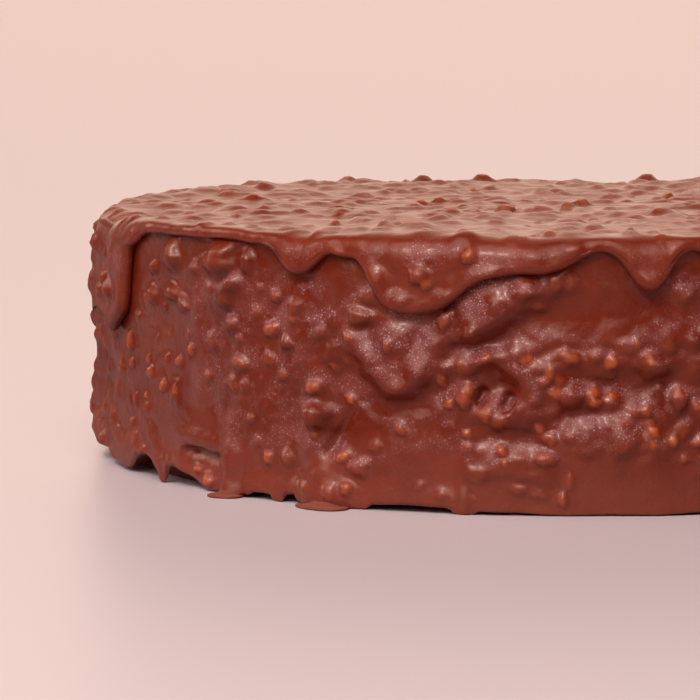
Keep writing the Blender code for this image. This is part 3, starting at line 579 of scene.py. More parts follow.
    def side_radius(self, angle: Array, height: Array) -> Array:
        """The first coat's radius: the mean one, with its runs, its waves and the recess near the base.

        The lines of the runs are bent a little by waves, and the waves of the coat are read on the surface
        that the runs have raised, so that they aren't drawn out where it is steep.

        Args:
            angle: places round the side in degrees.
            height: their heights in mm.

        Returns:
            The radius in mm at each place.
        """
        points = place(angle, self.coat_radius, height)
        angle, height = np.broadcast_arrays(angle, height)
        warp = 0.4 * smooth_step(height, 6.0, 16.0)
        round_by = angle + warp * waves(points, 11.0, WAVE_SEED + 20) / self.degree
        up_by = height + warp * waves(points, 11.0, WAVE_SEED + 21)
        relief = self.run_relief(round_by, up_by).reshape(angle.shape)
        points = place(angle, self.coat_radius + relief, height)
        busy = 1.0 - 0.8 * self.calmness(angle, height)
        busy *= 1.0 + self.patches(angle, height, LUMPY_PLACES)
        busy *= 1.0 - self.patches(angle, height, SOFT_PLACES)
        relief += 0.35 * waves(points, 22.0, WAVE_SEED)
        relief += self.mounds(points, SIDE_MOUNDS, 0.2, 0.83) * busy
        relief += 0.03 * waves(points, 2.6, WAVE_SEED + 12) * busy
        upper = np.interp(near_to(-46.5, angle), *np.array(RECESS_TOP).T)
        recess = window(angle, RECESS_STARTS, RECESS_ENDS)
        recess *= 1.0 - smooth_step(height, upper - 0.6, upper + 0.1)
        deep = RECESS_DEPTH * (0.75 + 0.6 * smooth_step(height, upper - 3.0, upper - 0.6))
        return self.coat_radius + relief - deep * recess

    def edge_height(self, angle: Array) -> Array:
        """The height of the first coat's ragged lower edge, away from its feet.

        Args:
            angle: places round the side in degrees.

        Returns:
            The height in mm at each place.
        """
        points = place(angle, self.coat_radius, 0.0)
        height = self.edge + 0.45 * waves(points, 26.0, WAVE_SEED + 1)
        height += 0.3 * waves(points, 6.0, WAVE_SEED + 10)
        drawn = np.interp(near_to(-27.0, angle), *np.array(EDGE_SEEN).T)
        return np.clip(height + (drawn - height) * window(angle, EDGE_STARTS, EDGE_ENDS), 0.05, 6.5)

    def foot_share(self, angle: Array) -> Array:
        """1 inside a foot's width, 0 outside it, with its taper between.

        Args:
            angle: places round the side in degrees.

        Returns:
            The largest share of any foot at each place.
        """
        share = np.zeros_like(angle)
        for foot in self.feet:
            off = np.abs(turn(foot.angle, angle)) * self.degree
            half = 0.5 * foot.width
            share = np.maximum(share, 1.0 - smooth_step(off, half - 0.2, half + foot.taper))
        return share

    def top_height(self, points: Array) -> Array:
        """How far waves and soft mounds raise or sink the poured coat's top."""
        height = 0.45 * waves(points, 38.0, WAVE_SEED + 2)
        return height + self.mounds(points, TOP_MOUNDS, 0.06, 0.75)

    @staticmethod
    def mounds(
        points: Array, layers: tuple[tuple[float, float, int], ...], roundness: float, mean: float
    ) -> Array:
        """Soft mounds with creases between them: the sum of rise * ((w^2 + roundness)^(1/2) - mean).

        Args:
            points: places in mm, with x, y and z last.
            layers: for each size of mound the wavelength of w, the rise in mm, and the seed.
            roundness: how soft the creases are.
            mean: what is taken off, so that the mean height stays.

        Returns:
            The rise in mm at each place.
        """
        height = np.zeros(points.shape[:-1])
        for wavelength, rise, seed in layers:
            height += rise * (np.sqrt(waves(points, wavelength, WAVE_SEED + seed) ** 2 + roundness) - mean)
        return height

    def rim_shift(self, angle: Array) -> Array:
        """How far the rim lies above or below the top's mean height."""
        return self.top_height(place(angle, self.coat_radius - 3.0, self.top))

    def columns(self, count: int) -> Array:
        """Angles round the cake, closer together in front and where the hem runs steeply.

        Args:
            count: how many angles there are.

        Returns:
            The angles, from -180 upwards.
        """
        fine = np.linspace(-180.0, 180.0, 7201)
        facing = 1.0 - smooth_step(np.abs(turn(FRONT_MIDDLE, fine)), 58.0, 74.0)
        edge_on = smooth_step(-fine, 60.0, 75.0)
        slope = np.gradient(self.hem_drop(fine), fine * self.degree)
        weight = (0.45 + 0.55 * facing - 0.15 * facing * edge_on) * np.sqrt(1.0 + (0.4 * slope) ** 2)
        total = np.concatenate([[0.0], np.cumsum(0.5 * (weight[1:] + weight[:-1]))])
        return np.interp(np.arange(count) / count, total / total[-1], fine)

    def calmness(self, angle: Array, height: Array) -> Array:
        """1 in the middle of the places that stayed smooth, 0 away from them."""
        return self.patches(angle, height, CALM_PLACES)

    @staticmethod
    def patches(angle: Array, height: Array, places: list[SidePlace]) -> Array:
        """Soft ellipses on the side: the largest of strength * (1 - step), with the distance in half sizes.

        Args:
            angle: places round the side in degrees.
            height: their heights in mm.
            places: for each ellipse its angle, height, half sizes in degrees and mm, and strength.

        Returns:
            A value from 0 up to the greatest strength at each place.
        """
        value = np.zeros(np.broadcast(angle, height).shape)
        for middle, middle_height, half_angle, half_height, strength in places:
            away = np.hypot(turn(middle, angle) / half_angle, (height - middle_height) / half_height)
            value = np.maximum(value, strength * (1.0 - smooth_step(away, 0.55, 1.35)))
        return value


def surface_normals(rings: Array) -> Array:
    """Unit normals of a closed surface of rings: the cross product of the ways down it and round it.

    Args:
        rings: points in mm, one ring a row.

    Returns:
        A unit vector for each point.
    """
    down = np.gradient(rings, axis=0)
    around = np.roll(rings, -1, axis=1) - np.roll(rings, 1, axis=1)
    normals = np.cross(down, around)
    return normals / np.maximum(np.linalg.norm(normals, axis=-1, keepdims=True), 1e-9)


def finish_mesh(name: str, mesh: bpy.types.Mesh) -> bpy.types.Object:
    """Smooths a mesh and links it as an object that rides on the cake.

    Args:
        name: the object's name.
        mesh: its mesh, in metres.

    Returns:
        The new object.
    """
    mesh.validate()
    mesh.shade_smooth()
    piece = bpy.data.objects.new(name, mesh)
    bpy.context.scene.collection.objects.link(piece)
    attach(piece, "root")
    LOG.info("%s: %d points, %d faces", name, len(mesh.vertices), len(mesh.polygons))
    return piece


def ring_faces(rows: int, columns: int, start: int = 0) -> list[list[int]]:
    """The faces of a closed surface of rings with a point at each end, all turned outwards.

    Args:
        rows: how many rings there are.
        columns: how many points a ring has.
        start: the index of the first ring's first point; the two end points follow the last ring.

    Returns:
        Each face's points.
    """
    index = start + np.arange(rows * columns).reshape(rows, columns)
    right = np.roll(index, -1, axis=1)
    first, last = start + rows * columns, start + rows * columns + 1
    quads = np.stack([index[:-1], index[1:], right[1:], right[:-1]], axis=-1).reshape(-1, 4)
    top = np.stack([np.full(columns, first), index[0], right[0]], axis=-1)
    bottom = np.stack([index[-1], np.full(columns, last), right[-1]], axis=-1)
    return quads.tolist() + top.tolist() + bottom.tolist()


def ring_mesh(
    name: str,
    rings: Array,
    first_pole: tuple[float, float, float],
    last_pole: tuple[float, float, float],
    **layers: Array,
) -> bpy.types.Object:
    """A closed, smooth mesh of rings with a point at each end.

    Args:
        name: the object's name.
        rings: points in mm, one ring a row, from the top's middle outwards, down and under.
        first_pole: the point inside the first ring.
        last_pole: the point inside the last ring.
        layers: one value for each ring point, kept as attributes of these names.

    Returns:
        The new object, riding on the cake.
    """
    points = np.concatenate([rings.reshape(-1, 3), [first_pole, last_pole]]) * MM
    mesh = bpy.data.meshes.new(name)
    mesh.from_pydata(points.tolist(), [], ring_faces(*rings.shape[:2]))
    for layer, values in layers.items():
        attribute = mesh.attributes.new(layer, "FLOAT", "POINT")
        attribute.data.foreach_set("value", np.concatenate([values.ravel(), [0.0, 0.0]]).astype(np.float32))
    return finish_mesh(name, mesh)


def press_nuts(rings: Array, nuts: list[Nut], seed: int) -> tuple[Array, Array]:
    """Raises a surface over the nuts in it.

    A nut's outline is r(t) = 1 + a cos(2t + b) + c cos(3t + d) + e cos(5t + f), and q is the distance from
    its middle as a share of it. The profile h(q) of its cover is cut by three slanting facets s, each as
    h s / (h^3 + s^3)^(1/3), and a skirt of chocolate, exp(-0.6 q^2), lies round it. Nuts that meet are
    joined by the cube root of the sum of cubes.

    Args:
        rings: the surface's points in mm.
        nuts: the nuts that lie in it.
        seed: fixes each nut's outline and facets.

    Returns:
        The raised points, and how much nut shows at each, from 0 to 1.
    """
    rng = np.random.default_rng(seed)
    points = rings.reshape(-1, 3)
    normals = surface_normals(rings).reshape(-1, 3)
    raised, shows = np.zeros(len(points)), np.zeros(len(points))
    ways = normals.copy()
    for nut in nuts:
        cover = nut.cover
        wobble, phase = rng.uniform(0.2, 1.0, 3) * (0.12, 0.13, 0.08), rng.uniform(0.0, 2.0 * math.pi, 6)
        facets, bareness = rng.uniform(0.75, 1.1, 3) + cover.further, rng.uniform(0.45, 1.0)
        offset = points - nut.spot
        near = np.flatnonzero((offset**2).sum(axis=1) < 1.2 * (nut.across + nut.tall) ** 2)
        a, b = nut.own_axes(offset[near])
        bearing = np.arctan2(b, a)
        outline = 1.0 + sum(w * np.cos(k * bearing + p) for w, k, p in zip(wobble, (2, 3, 5), phase))
        q = (np.abs(a) ** 2.3 + np.abs(b) ** 2.3) ** (1.0 / 2.3) / outline
        body = cover.profile(q)
        for facet, heading in zip(facets, phase[3:]):
            slant = facet - cover.steep * (a * math.cos(heading) + b * math.sin(heading))
            body = np.where(body > 0.0, body * slant / np.cbrt(body**3 + slant**3), 0.0)
        size = math.sqrt(nut.across * nut.tall)
        lift = cover.rise * size * (1.15 * body + cover.skirt * np.exp(-0.6 * q**2))
        lift *= smooth_step(np.clip(normals[near] @ nut.outwards, 0.0, 1.0), 0.1, 0.7)
        ways[near] = np.where((lift > raised[near])[:, None], nut.outwards, ways[near])
        raised[near] = np.cbrt(raised[near] ** 3 + lift**3)
        shows[near] = np.maximum(shows[near], cover.tint * bareness * smooth_step(1.06 - q, 0.0, 0.42))
    moved = points + ways * raised[:, None]
    return moved.reshape(rings.shape), shows.reshape(rings.shape[:2])


@dataclass
class NutPlan:
    """Where the chopped nuts lie in both coats, the largest ones as in the solids. Lengths are mm."""

    form: CakeForm
    side_count: int = 620
    front_count: int = 84
    lumpy_count: int = 46
    top_count: int = 720
    tongue_count: int = 120
    top_reach: float = 102.0
    large_reach: float = 99.0
    tongue_out: float = 2.3

    def __post_init__(self) -> None:
        """Places the nuts that are seen, and draws the others."""
        rng = np.random.default_rng(NUT_SEED + 10)
        form = self.form
        self.side = [self.on_side(*nut, Cover.THIN) for nut in BARE_NUTS]
        self.side += [self.on_side(*nut, Cover.THICK) for nut in COVERED_NUTS]
        self.side += [self.on_side(*nut, Cover.LUMP) for nut in LUMPS_SEEN]
        for angle, height, size in self.large_side():
            self.side.append(self.on_side(angle, height, size, size * 0.9, 0.0, Cover.THICK))
        for _ in range(self.side_count):
            self.add_to_side(rng, UNSEEN_FROM - 3.0, UNSEEN_TO, (1.6, 4.6))
        for _ in range(self.front_count):
            self.add_to_side(rng, UNSEEN_TO - 360.0, UNSEEN_FROM - 3.0, (1.2, 2.2))
        for _ in range(self.lumpy_count):
            self.add_to_side(rng, -12.0, UNSEEN_FROM - 3.0, (1.6, 3.2), (13.0, 34.0))
        self.pour = [self.on_tongue(*nut) for nut in POUR_NUTS_SEEN]
        self.pour += [self.on_top(rng, *nut) for nut in self.large_top()]
        for _ in range(self.top_count):
            away, angle = self.top_reach * math.sqrt(rng.uniform()), rng.uniform(0.0, 2.0 * math.pi)
            cover = rng.choice([Cover.DEEP, Cover.THICK, Cover.THIN], p=(0.5, 0.45, 0.05))
            size = 1.4 + 2.6 * rng.uniform() ** 2 + (2.6 if cover is Cover.DEEP else 0.0)
            self.pour.append(self.on_top(rng, away * math.cos(angle), away * math.sin(angle), size, cover))
        for _ in range(self.tongue_count):
            angle, height = rng.uniform(UNSEEN_FROM, UNSEEN_TO), rng.uniform(34.0, 50.0)
            if form.top - form.hem_drop(np.array([angle]))[0] < height - 2.5:
                size = rng.uniform(2.0, 4.4)
                tall = size * rng.uniform(0.8, 1.2)
                self.pour.append(self.on_tongue(angle, height, size, tall, Cover.THICK))

    def add_to_side(
        self,
        rng: np.random.Generator,
        first: float,
        last: float,
        sizes: tuple[float, float],
        heights: tuple[float, float] = (2.5, 49.0),
    ) -> None:
        """Draws one nut on the side, and keeps it if it is clear of the hem and of the smooth places.

        Args:
            rng: where it is drawn from.
            first: the least angle.
            last: the greatest angle.
            sizes: the smallest and largest size in mm.
            heights: the least and greatest height in mm.
        """
        angle, height = rng.uniform(first, last), rng.uniform(*heights)
        size, squash, lean = rng.uniform(*sizes), rng.uniform(0.65, 1.0), rng.uniform(0.0, 180.0)
        cover = rng.choice([Cover.DEEP, Cover.THICK, Cover.THIN], p=(0.25, 0.45, 0.3))
        size += 2.4 if cover is Cover.DEEP else 0.0
        drop = self.form.hem_drop(angle + np.linspace(-2.5, 2.5, 6)).max()
        calm = self.form.calmness(np.array([angle]), np.array([height]))[0]
        if height + 0.7 * size < self.form.top - drop and calm < 0.3:
            self.side.append(self.on_side(angle, height, size, size * squash, lean, cover))

    def on_side(
        self,
        angle: float,
        height: float,
        across: float,
        tall: float,
        lean: float,
        cover: Cover,
        out: float = 0.0,
    ) -> Nut:
        """A nut in the first coat's side, or further out.

        Args:
            angle: where it lies round the side, in degrees.
            height: its height in mm.
            across: its width.
            tall: its height on the surface.
            lean: its lean in degrees, anticlockwise.
            cover: how much chocolate lies on it.
            out: how far out of the side its middle lies.

        Returns:
            The nut.
        """
        radius = self.form.side_radius(np.array([angle]), np.array([height]))[0] + out
        spot, outwards = place(angle, radius, height), place(angle, 1.0, 0.0)
        return Nut(tuple(spot), tuple(outwards), across, tall, lean, cover)

    def on_tongue(self, angle: float, height: float, across: float, tall: float, cover: Cover) -> Nut:
        """A nut in a tongue of the poured coat."""
        return self.on_side(angle, height, across, tall, 0.0, cover, self.tongue_out)

    def on_top(self, rng: np.random.Generator, x: float, y: float, size: float, cover: Cover) -> Nut:
        """A nut in the poured coat's top.

        Args:
            rng: where its narrow size and its lean are drawn from.
            x: where it lies, in mm.
            y: the same.
            size: its wide size.
            cover: how much chocolate lies on it.

        Returns:
            The nut.
        """
        height = self.form.top + self.form.top_height(np.array([[x, y, self.form.top]]))[0]
        tall, lean = size * rng.uniform(0.6, 1.0), rng.uniform(0.0, 180.0)
        return Nut((x, y, height), (0.0, 0.0, 1.0), size, tall, lean, cover)

    def large_side(self) -> list[tuple[float, float, float]]:
        """The large nuts of the unseen side, which keep apart.

        Returns:
            Each nut's angle, height and size.
        """
        rng = np.random.default_rng(NUT_SEED)
        nuts: list[tuple[float, float, float]] = []
        for _ in range(NUT_TRIES * CAKE_NUTS):
            angle, height = rng.uniform(UNSEEN_FROM - 4.0, UNSEEN_TO), rng.uniform(4.0, 46.0)
            size = rng.uniform(3.4, 5.6)
            if len(nuts) >= CAKE_NUTS - CAKE_NUTS_SEEN:
                break
            hem = self.form.top - self.form.hem_drop(angle + np.linspace(-3.5, 3.5, 8)).max()
            apart = [math.hypot(float(turn(angle, n[0])) * self.form.degree, height - n[1]) for n in nuts]
            if height + size + 1.2 < hem and min(apart, default=math.inf) > NUT_APART:
                nuts.append((angle, height, size))
        return nuts

    def large_top(self) -> list[tuple[float, float, float, Cover]]:
        """The large nuts of the top: the seen ones, and drawn ones that keep apart.

        Returns:
            Each nut's x, y, size and cover.
        """
        rng = np.random.default_rng(NUT_SEED + 1)
        nuts = list(TOP_NUTS)
        for _ in range(NUT_TRIES * POUR_NUTS):
            away, angle = self.large_reach * math.sqrt(rng.uniform()), rng.uniform(0.0, 2.0 * math.pi)
            x, y, size = away * math.cos(angle), away * math.sin(angle), rng.uniform(3.0, 5.2)
            if len(nuts) >= POUR_NUTS:
                break
            if min(math.hypot(x - other[0], y - other[1]) for other in nuts) > 0.8 * NUT_APART:
                nuts.append((x, y, size, Cover.THICK))
        return nuts


@dataclass
class FirstCoat:
    """The cake's first coat of chocolate and nuts, closed over its top and base. Lengths are mm."""

    form: CakeForm
    column_count: int = 860
    side_rows: int = 95
    lip_rows: int = 6
    shoulder: float = 1.0
    lip: float = 1.1
    foot_gap: float = 0.12
    even_above: float = 9.5
    base_radius: float = 95.6
    top_radii: tuple[float, float] = (60.0, 90.0)

    def rings(self) -> Array:
        """The coat's surface before its nuts.

        Down each column go the top, the shoulder, the side, a lip bent under as a quarter circle, the
        underside, and the wall of the base set back below it. Low down, the rows are spread evenly from the
        lip to where they no longer follow the edge.

        Returns:
            Points in mm, one ring a row.
        """
        form = self.form
        angle = form.columns(self.column_count)
        share = form.foot_share(angle)
        edge = form.edge_height(angle) * (1.0 - share) + self.foot_gap * share
        lip = np.minimum(self.lip, 0.25 + 0.5 * edge) * (1.0 - 0.6 * share)
        lip_top = edge + lip
        highest = form.coat_top - self.shoulder
        shift = form.rim_shift(angle)
        shoulder_radius = form.side_radius(angle, np.full_like(angle, highest)) - self.shoulder
        bend = np.radians(np.linspace(90.0, 15.0, 5))[:, None]
        shoulder_height = highest + shift + self.shoulder * np.sin(bend)
        down = np.linspace(0.0, 1.0, self.side_rows)[:, None]
        height = highest * (1.0 - down)
        evened = lip_top + height / self.even_above * (self.even_above - lip_top)
        height = np.where(height < self.even_above, evened, height)
        at_edge = form.side_radius(angle, lip_top)
        under = np.radians(np.linspace(0.0, -90.0, self.lip_rows + 1)[1:])[:, None]
        ceiling = np.max([np.roll(edge, step) for step in range(-5, 6)], axis=0)
        ceiling = sum(np.roll(ceiling, step) for step in range(-2, 3)) / 5.0
        return np.concatenate([
            place(angle, np.array(self.top_radii)[:, None], form.coat_top + shift),
            place(angle, shoulder_radius + self.shoulder * np.cos(bend), shoulder_height),
            place(angle, form.side_radius(angle, height), height + shift * (1.0 - down) ** 4),
            place(angle, at_edge - lip * (1.0 - np.cos(under)), edge + lip * (1.0 + np.sin(under))),
            place(angle, at_edge - lip - 0.8, np.maximum(edge, ceiling - 0.4) + 0.2)[None],
            place(angle, self.base_radius + 1.2, ceiling + 0.5)[None],
            place(angle, self.base_radius, ceiling + 0.3)[None],
            place(angle, self.base_radius, 0.0)[None],
        ])

    def dew(self, rings: Array) -> Array:
        """How much dew lies on the side: patches and a thin layer in front as seen, and drifts behind.

        Args:
            rings: the coat's points in mm.

        Returns:
            A value of 0 or more for each point.
        """
        height, angle = rings[..., 2], np.degrees(np.arctan2(rings[..., 0], -rings[..., 1]))
        off = turn(FRONT_MIDDLE, angle)
        behind = smooth_step(np.abs(off), 46.0, 60.0)
        drifts = smooth_step(waves(rings, 24.0, WAVE_SEED + 30), -0.3, 1.0)
        drifts *= smooth_step(height, 6.0, 16.0) * behind
        thin = 0.7 * smooth_step(off, -18.0, -10.0) * (1.0 - behind)
        thin *= smooth_step(height, 6.0, 13.0) * (1.0 - smooth_step(height, 44.0, 50.0))
        seen = self.form.patches(angle, height, DEWY_PLACES)
        return np.max([seen, drifts, thin], axis=0) * (1.0 - self.form.calmness(angle, height))

    def build(self, nuts: list[Nut]) -> bpy.types.Object:
        """Makes the coat with its nuts, in place of the cake's solid.

        Args:
            nuts: those that lie in the side.

        Returns:
            The coat's object.
        """
        rings, shows = press_nuts(self.rings(), nuts, NUT_SEED + 20)
        rings[..., 2] = np.maximum(rings[..., 2], 0.0)
        poles = (0.0, 0.0, self.form.coat_top), (0.0, 0.0, 0.0)
        piece = ring_mesh("first_coat", rings, *poles, nut=shows, dew=self.dew(rings))
        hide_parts("coated_cake")
        return piece


@dataclass
class PouredCoat:
    """The second coat, poured over the top and run over the rim in tongues. Lengths are mm."""

    form: CakeForm
    column_count: int = 760
    top_rows: int = 84
    rim_rows: int = 8
    side_rows: int = 18
    lip_rows: int = 9
    rim: float = 5.0
    thin: float = 1.6
    thick: float = 3.1
    sheet_loss: float = 0.75
    fading_loss: float = 0.14
    even_over: float = 5.0
    under: float = 1.5
    under_radius: float = 90.0
    tuck: float = 0.08

    def rings(self) -> Array:
        """The coat's surface before its nuts.

        The hem is a curve on the unrolled side. Its lip is half a circle carried along that curve, square to
        it: (d, t) = (r - r cos b, r + r sin b), with d into the coat, t out of the cake and b from 90 to -90
        degrees. Above it the thickness follows the distance from the curve, and the rim is a quarter ellipse.

        Returns:
            Points in mm, one ring a row.
        """
        form = self.form
        angle = form.columns(self.column_count)
        drop = form.hem_drop(angle)
        thickness = self.thickness(angle)
        round_by = 0.5 * thickness
        hem = form.top - drop
        across = angle * form.degree
        run, climb = self.periodic_slope(across), self.periodic_slope(hem, wrap=False)
        length = np.hypot(run, climb)
        inwards_x, inwards_z = -climb / length, run / length
        bent = smooth_step(drop, 2.9, 5.9)
        even_x = self.evened(inwards_x * round_by * bent)
        inner_angle = angle + even_x / form.degree
        shift = form.rim_shift(inner_angle)
        rim = np.minimum(self.rim, drop - 1.15 * round_by)
        lip_top = hem + inwards_z * round_by
        rim_foot = np.maximum(form.top - rim, lip_top + 0.02)
        share = np.linspace(0.0, 1.0, self.side_rows)[1:-1, None] ** 0.8
        side_x = across + even_x + (inwards_x * round_by - even_x) * share**2
        side_z = rim_foot + (lip_top - rim_foot) * share
        side_away = self.distance_to_hem(side_x, side_z, across, hem)
        bend = np.radians(np.linspace(90.0, -90.0, self.lip_rows))[:, None]
        lip_x = across + inwards_x * round_by * (1.0 - np.cos(bend))
        lip_z = hem + inwards_z * round_by * (1.0 - np.cos(bend))
        lip_out = round_by * (1.0 + np.sin(bend)) - self.tuck * (bend < -1.5)
        near_lip = np.clip(side_away / round_by, 0.0, 1.0)
        side_out = round_by * (1.0 + np.sqrt(1.0 - (1.0 - near_lip) ** 2)) * self.bead(side_away, round_by)
        rim_x = (inner_angle * form.degree)[None, :]
        rim_away = self.distance_to_hem(rim_x, rim_foot[None, :], across, hem)[0]
        outer = form.side_radius(inner_angle, rim_foot) + thickness * self.bead(rim_away, round_by)
        spread = np.linspace(0.03, 1.0, self.top_rows, endpoint=False)[:, None]
        top = place(inner_angle, (outer - rim) * spread, form.top)
        top[..., 2] += form.top_height(top)
        bend = np.radians(np.linspace(90.0, 0.0, self.rim_rows))[:, None]
        rim_height = rim_foot + (form.top - rim_foot) * np.sin(bend) + shift
        x, z, out = (np.concatenate(pair) for pair in ((side_x, lip_x), (side_z, lip_z), (side_out, lip_out)))
        hidden_height = form.coat_top - self.under
        return np.concatenate([
            top,
            place(inner_angle, outer - rim * (1.0 - np.cos(bend)), rim_height),
            place(x / form.degree, form.side_radius(x / form.degree, z) + out, z + shift),
            place(angle, form.coat_radius - 4.0, np.minimum(lip_top, hidden_height))[None],
            place(angle, self.under_radius, hidden_height)[None],
        ])

    def thickness(self, angle: Array) -> Array:
        """The hem's thickness: more where the coat has run far, evened out over a few mm round the cake.

        The sheet has lost a share of it, and a little more where it fades.

        Args:
            angle: places round the cake in degrees.

        Returns:
            The thickness in mm at each place.
        """
        spread = np.linspace(-1.0, 1.0, 13) * self.even_over / self.form.degree
        near = smooth_step(self.form.hem_drop(angle + spread[:, None]), 3.0, 7.4)
        weight = (1.0 - np.linspace(-1.0, 1.0, 13) ** 2)[:, None]
        share = (near * weight).sum(axis=0) / weight.sum()
        sheet = window(angle, SHEET_STARTS, SHEET_ENDS)
        fading = sheet * smooth_step(turn(angle, SHEET_FADES_FROM), 0.0, SHEET_FADES_OVER)
        kept = 1.0 - self.sheet_loss * sheet - self.fading_loss * fading
        return (self.thin + (self.thick - self.thin) * share) * kept

    @staticmethod
    def evened(values: Array, reach: int = 6) -> Array:
        """The mean of each column's neighbours, with the weights 1 - (step / (reach + 1))^2.

        Args:
            values: one value for each column.
            reach: how many columns to each side count.

        Returns:
            The evened values.
        """
        steps = range(-reach, reach + 1)
        weights = [1.0 - (step / (reach + 1)) ** 2 for step in steps]
        return sum(np.roll(values, step) * weight for step, weight in zip(steps, weights)) / sum(weights)

    @staticmethod
    def bead(away: Array, round_by: Array) -> Array:
        """How the coat thins with the distance from its rolled hem: by a fifth at 4.4 mm from it."""
        return 1.0 - 0.19 * smooth_step(away, round_by, 4.4)

    @staticmethod
    def periodic_slope(values: Array, wrap: bool = True) -> Array:
        """Differences from each column's left neighbour to its right one, round the closed ring.

        Args:
            values: one value for each column.
            wrap: whether they grow by a whole turn from the last column to the first.

        Returns:
            The difference at each column.
        """
        left, right = np.roll(values, 1), np.roll(values, -1)
        if wrap:
            whole_turn = values[-1] - values[0] + (values[1] - values[0])
            left[0] -= whole_turn
            right[-1] += whole_turn
        return right - left

    @staticmethod
    def distance_to_hem(x: Array, z: Array, across: Array, hem: Array, reach: int = 26) -> Array:
        """The distance on the unrolled side from each column's points to the nearest hem point about it.

        Args:
            x: places round the side in mm, one column each.
            z: heights in mm.
            across: where each column's hem point is round the side.
            hem: its height.
            reach: how many columns to each side are looked at.

        Returns:
            Distances in mm, shaped as x.
        """
        around = 2.0 * across[-1] - across[-2] - across[0]
        nearest = np.full(x.shape, np.inf)
        for step in range(-reach, reach + 1):
            wrapped = (x - np.roll(across, -step) + 0.5 * around) % around - 0.5 * around
            nearest = np.minimum(nearest, np.hypot(wrapped, z - np.roll(hem, -step)))
        return nearest

    def build(self, nuts: list[Nut]) -> bpy.types.Object:
        """Makes the coat with its nuts, in place of its solid.

        Args:
            nuts: those that lie in the top and the tongues.

        Returns:
            The coat's object.
        """
        rings, shows = press_nuts(self.rings(), nuts, NUT_SEED + 21)
        on_side = 1.0 - smooth_step(rings[..., 2], 51.0, 54.0)
        dewy = smooth_step(waves(rings, 18.0, WAVE_SEED + 31), 0.0, 1.2) * (0.3 + 0.5 * on_side)
        dewy = np.maximum(dewy, 0.4 * on_side)
        poles = (0.0, 0.0, float(rings[0, :, 2].mean())), (0.0, 0.0, self.form.coat_top - self.under)
        piece = ring_mesh("poured_coat_skin", rings, *poles, nut=shows, dew=dewy)
        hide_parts("poured_coat")
        return piece


@dataclass
class FootPads:
    """The thin flat ends of the first coat's feet, where they have spread. Lengths are mm."""

    form: CakeForm
    columns: int = 40
    thickness: float = 0.42
    sunk: float = 0.8
    lifted: float = 0.03

    def build(self) -> bpy.types.Object:
        """Makes the pads as one mesh.

        A pad is an uneven ellipse, (a cos t, b sin t) with a wider than b, half of it under the coat. Its
        edge is half a circle and its upper face climbs towards the coat.

        Returns:
            The pads' object.
        """
        around = np.linspace(0.0, 2.0 * math.pi, self.columns, endpoint=False)
        bend = np.radians(np.linspace(60.0, -90.0, 6))
        half = 0.5 * self.thickness
        shares = np.concatenate([[0.3, 0.5, 0.66, 0.85], 1.0 + 0.06 * (np.cos(bend) - 1.0)])
        heights = np.concatenate([[1.3, 0.8, 0.56, 0.46], half + half * np.sin(bend) + self.lifted])
        points: list[list[float]] = []
        faces: list[list[int]] = []
        for number, foot in enumerate(self.form.feet):
            radius = float(self.form.side_radius(np.array([foot.angle]), np.array([0.5]))[0]) - self.sunk
            long_half, short_half = 0.5 * foot.width + 0.7, 2.2 + 0.28 * foot.width
            uneven = 1.0 + 0.07 * np.cos(2.0 * around + number) + 0.05 * np.cos(3.0 * around + 2.0 * number)
            sideways = long_half * uneven * np.cos(around) * shares[:, None]
            out = short_half * uneven * np.sin(around) * shares[:, None]
            angle = foot.angle + sideways / self.form.degree
            rings = place(angle, radius - out, heights[:, None] * np.ones_like(around))
            start = len(points)
            points += rings.reshape(-1, 3).tolist()
            points += [place(foot.angle, radius, height).tolist() for height in (1.2, self.lifted)]
            faces += ring_faces(*rings.shape[:2], start)
        mesh = bpy.data.meshes.new("foot_pads")
        mesh.from_pydata((np.array(points) * MM).tolist(), [], faces)
        piece = finish_mesh("foot_pads", mesh)
        return piece


MIX_A, MIX_B = 6, 7  # the two colours that a Mix node takes


def linear(hex_colour: str) -> tuple[float, float, float, float]:
    """The linear colour of an sRGB one: v / 12.92 up to 0.04045, and ((v + 0.055) / 1.055)^2.4 above it.

    Args:
        hex_colour: the colour as six hex digits.

    Returns:
        Red, green, blue and a full alpha.
    """
    values = [int(hex_colour[i : i + 2], 16) / 255.0 for i in (0, 2, 4)]
    bent = [v / 12.92 if v <= 0.04045 else ((v + 0.055) / 1.055) ** 2.4 for v in values]
    return (*bent, 1.0)


def add_node(
    tree: bpy.types.NodeTree, kind: str, inputs: dict[Any, Any] | None = None, **settings: Any
) -> Any:
    """Adds a node, gives it its settings, and sets or links its inputs.

    Args:
        tree: the material's node tree.
        kind: the node's type, without its ShaderNode prefix.
        inputs: for each input's name or number, a value, the output to link to it, or a node, which stands
            for its first output in use.
        settings: the node's properties.

    Returns:
        The node.
    """
    node = tree.nodes.new("ShaderNode" + kind)
    for key, value in settings.items():
        setattr(node, key, value)
    for key, value in (inputs or {}).items():
        if isinstance(value, bpy.types.Node):
            value = next(output for output in value.outputs if output.enabled)
        if isinstance(value, bpy.types.NodeSocket):
            tree.links.new(value, node.inputs[key])
        else:
            node.inputs[key].default_value = value
    return node


class Drops(NamedTuple):
    """Drops of dew of one kind.

    In order: how far apart they lie in metres, the smallest and largest radius as shares of that (the first
    below 0 where some places have none), and how bright the painted glints of the dullest and brightest are.
    """

    spacing: float
    radii: tuple[float, float]
    brightness: tuple[float, float]


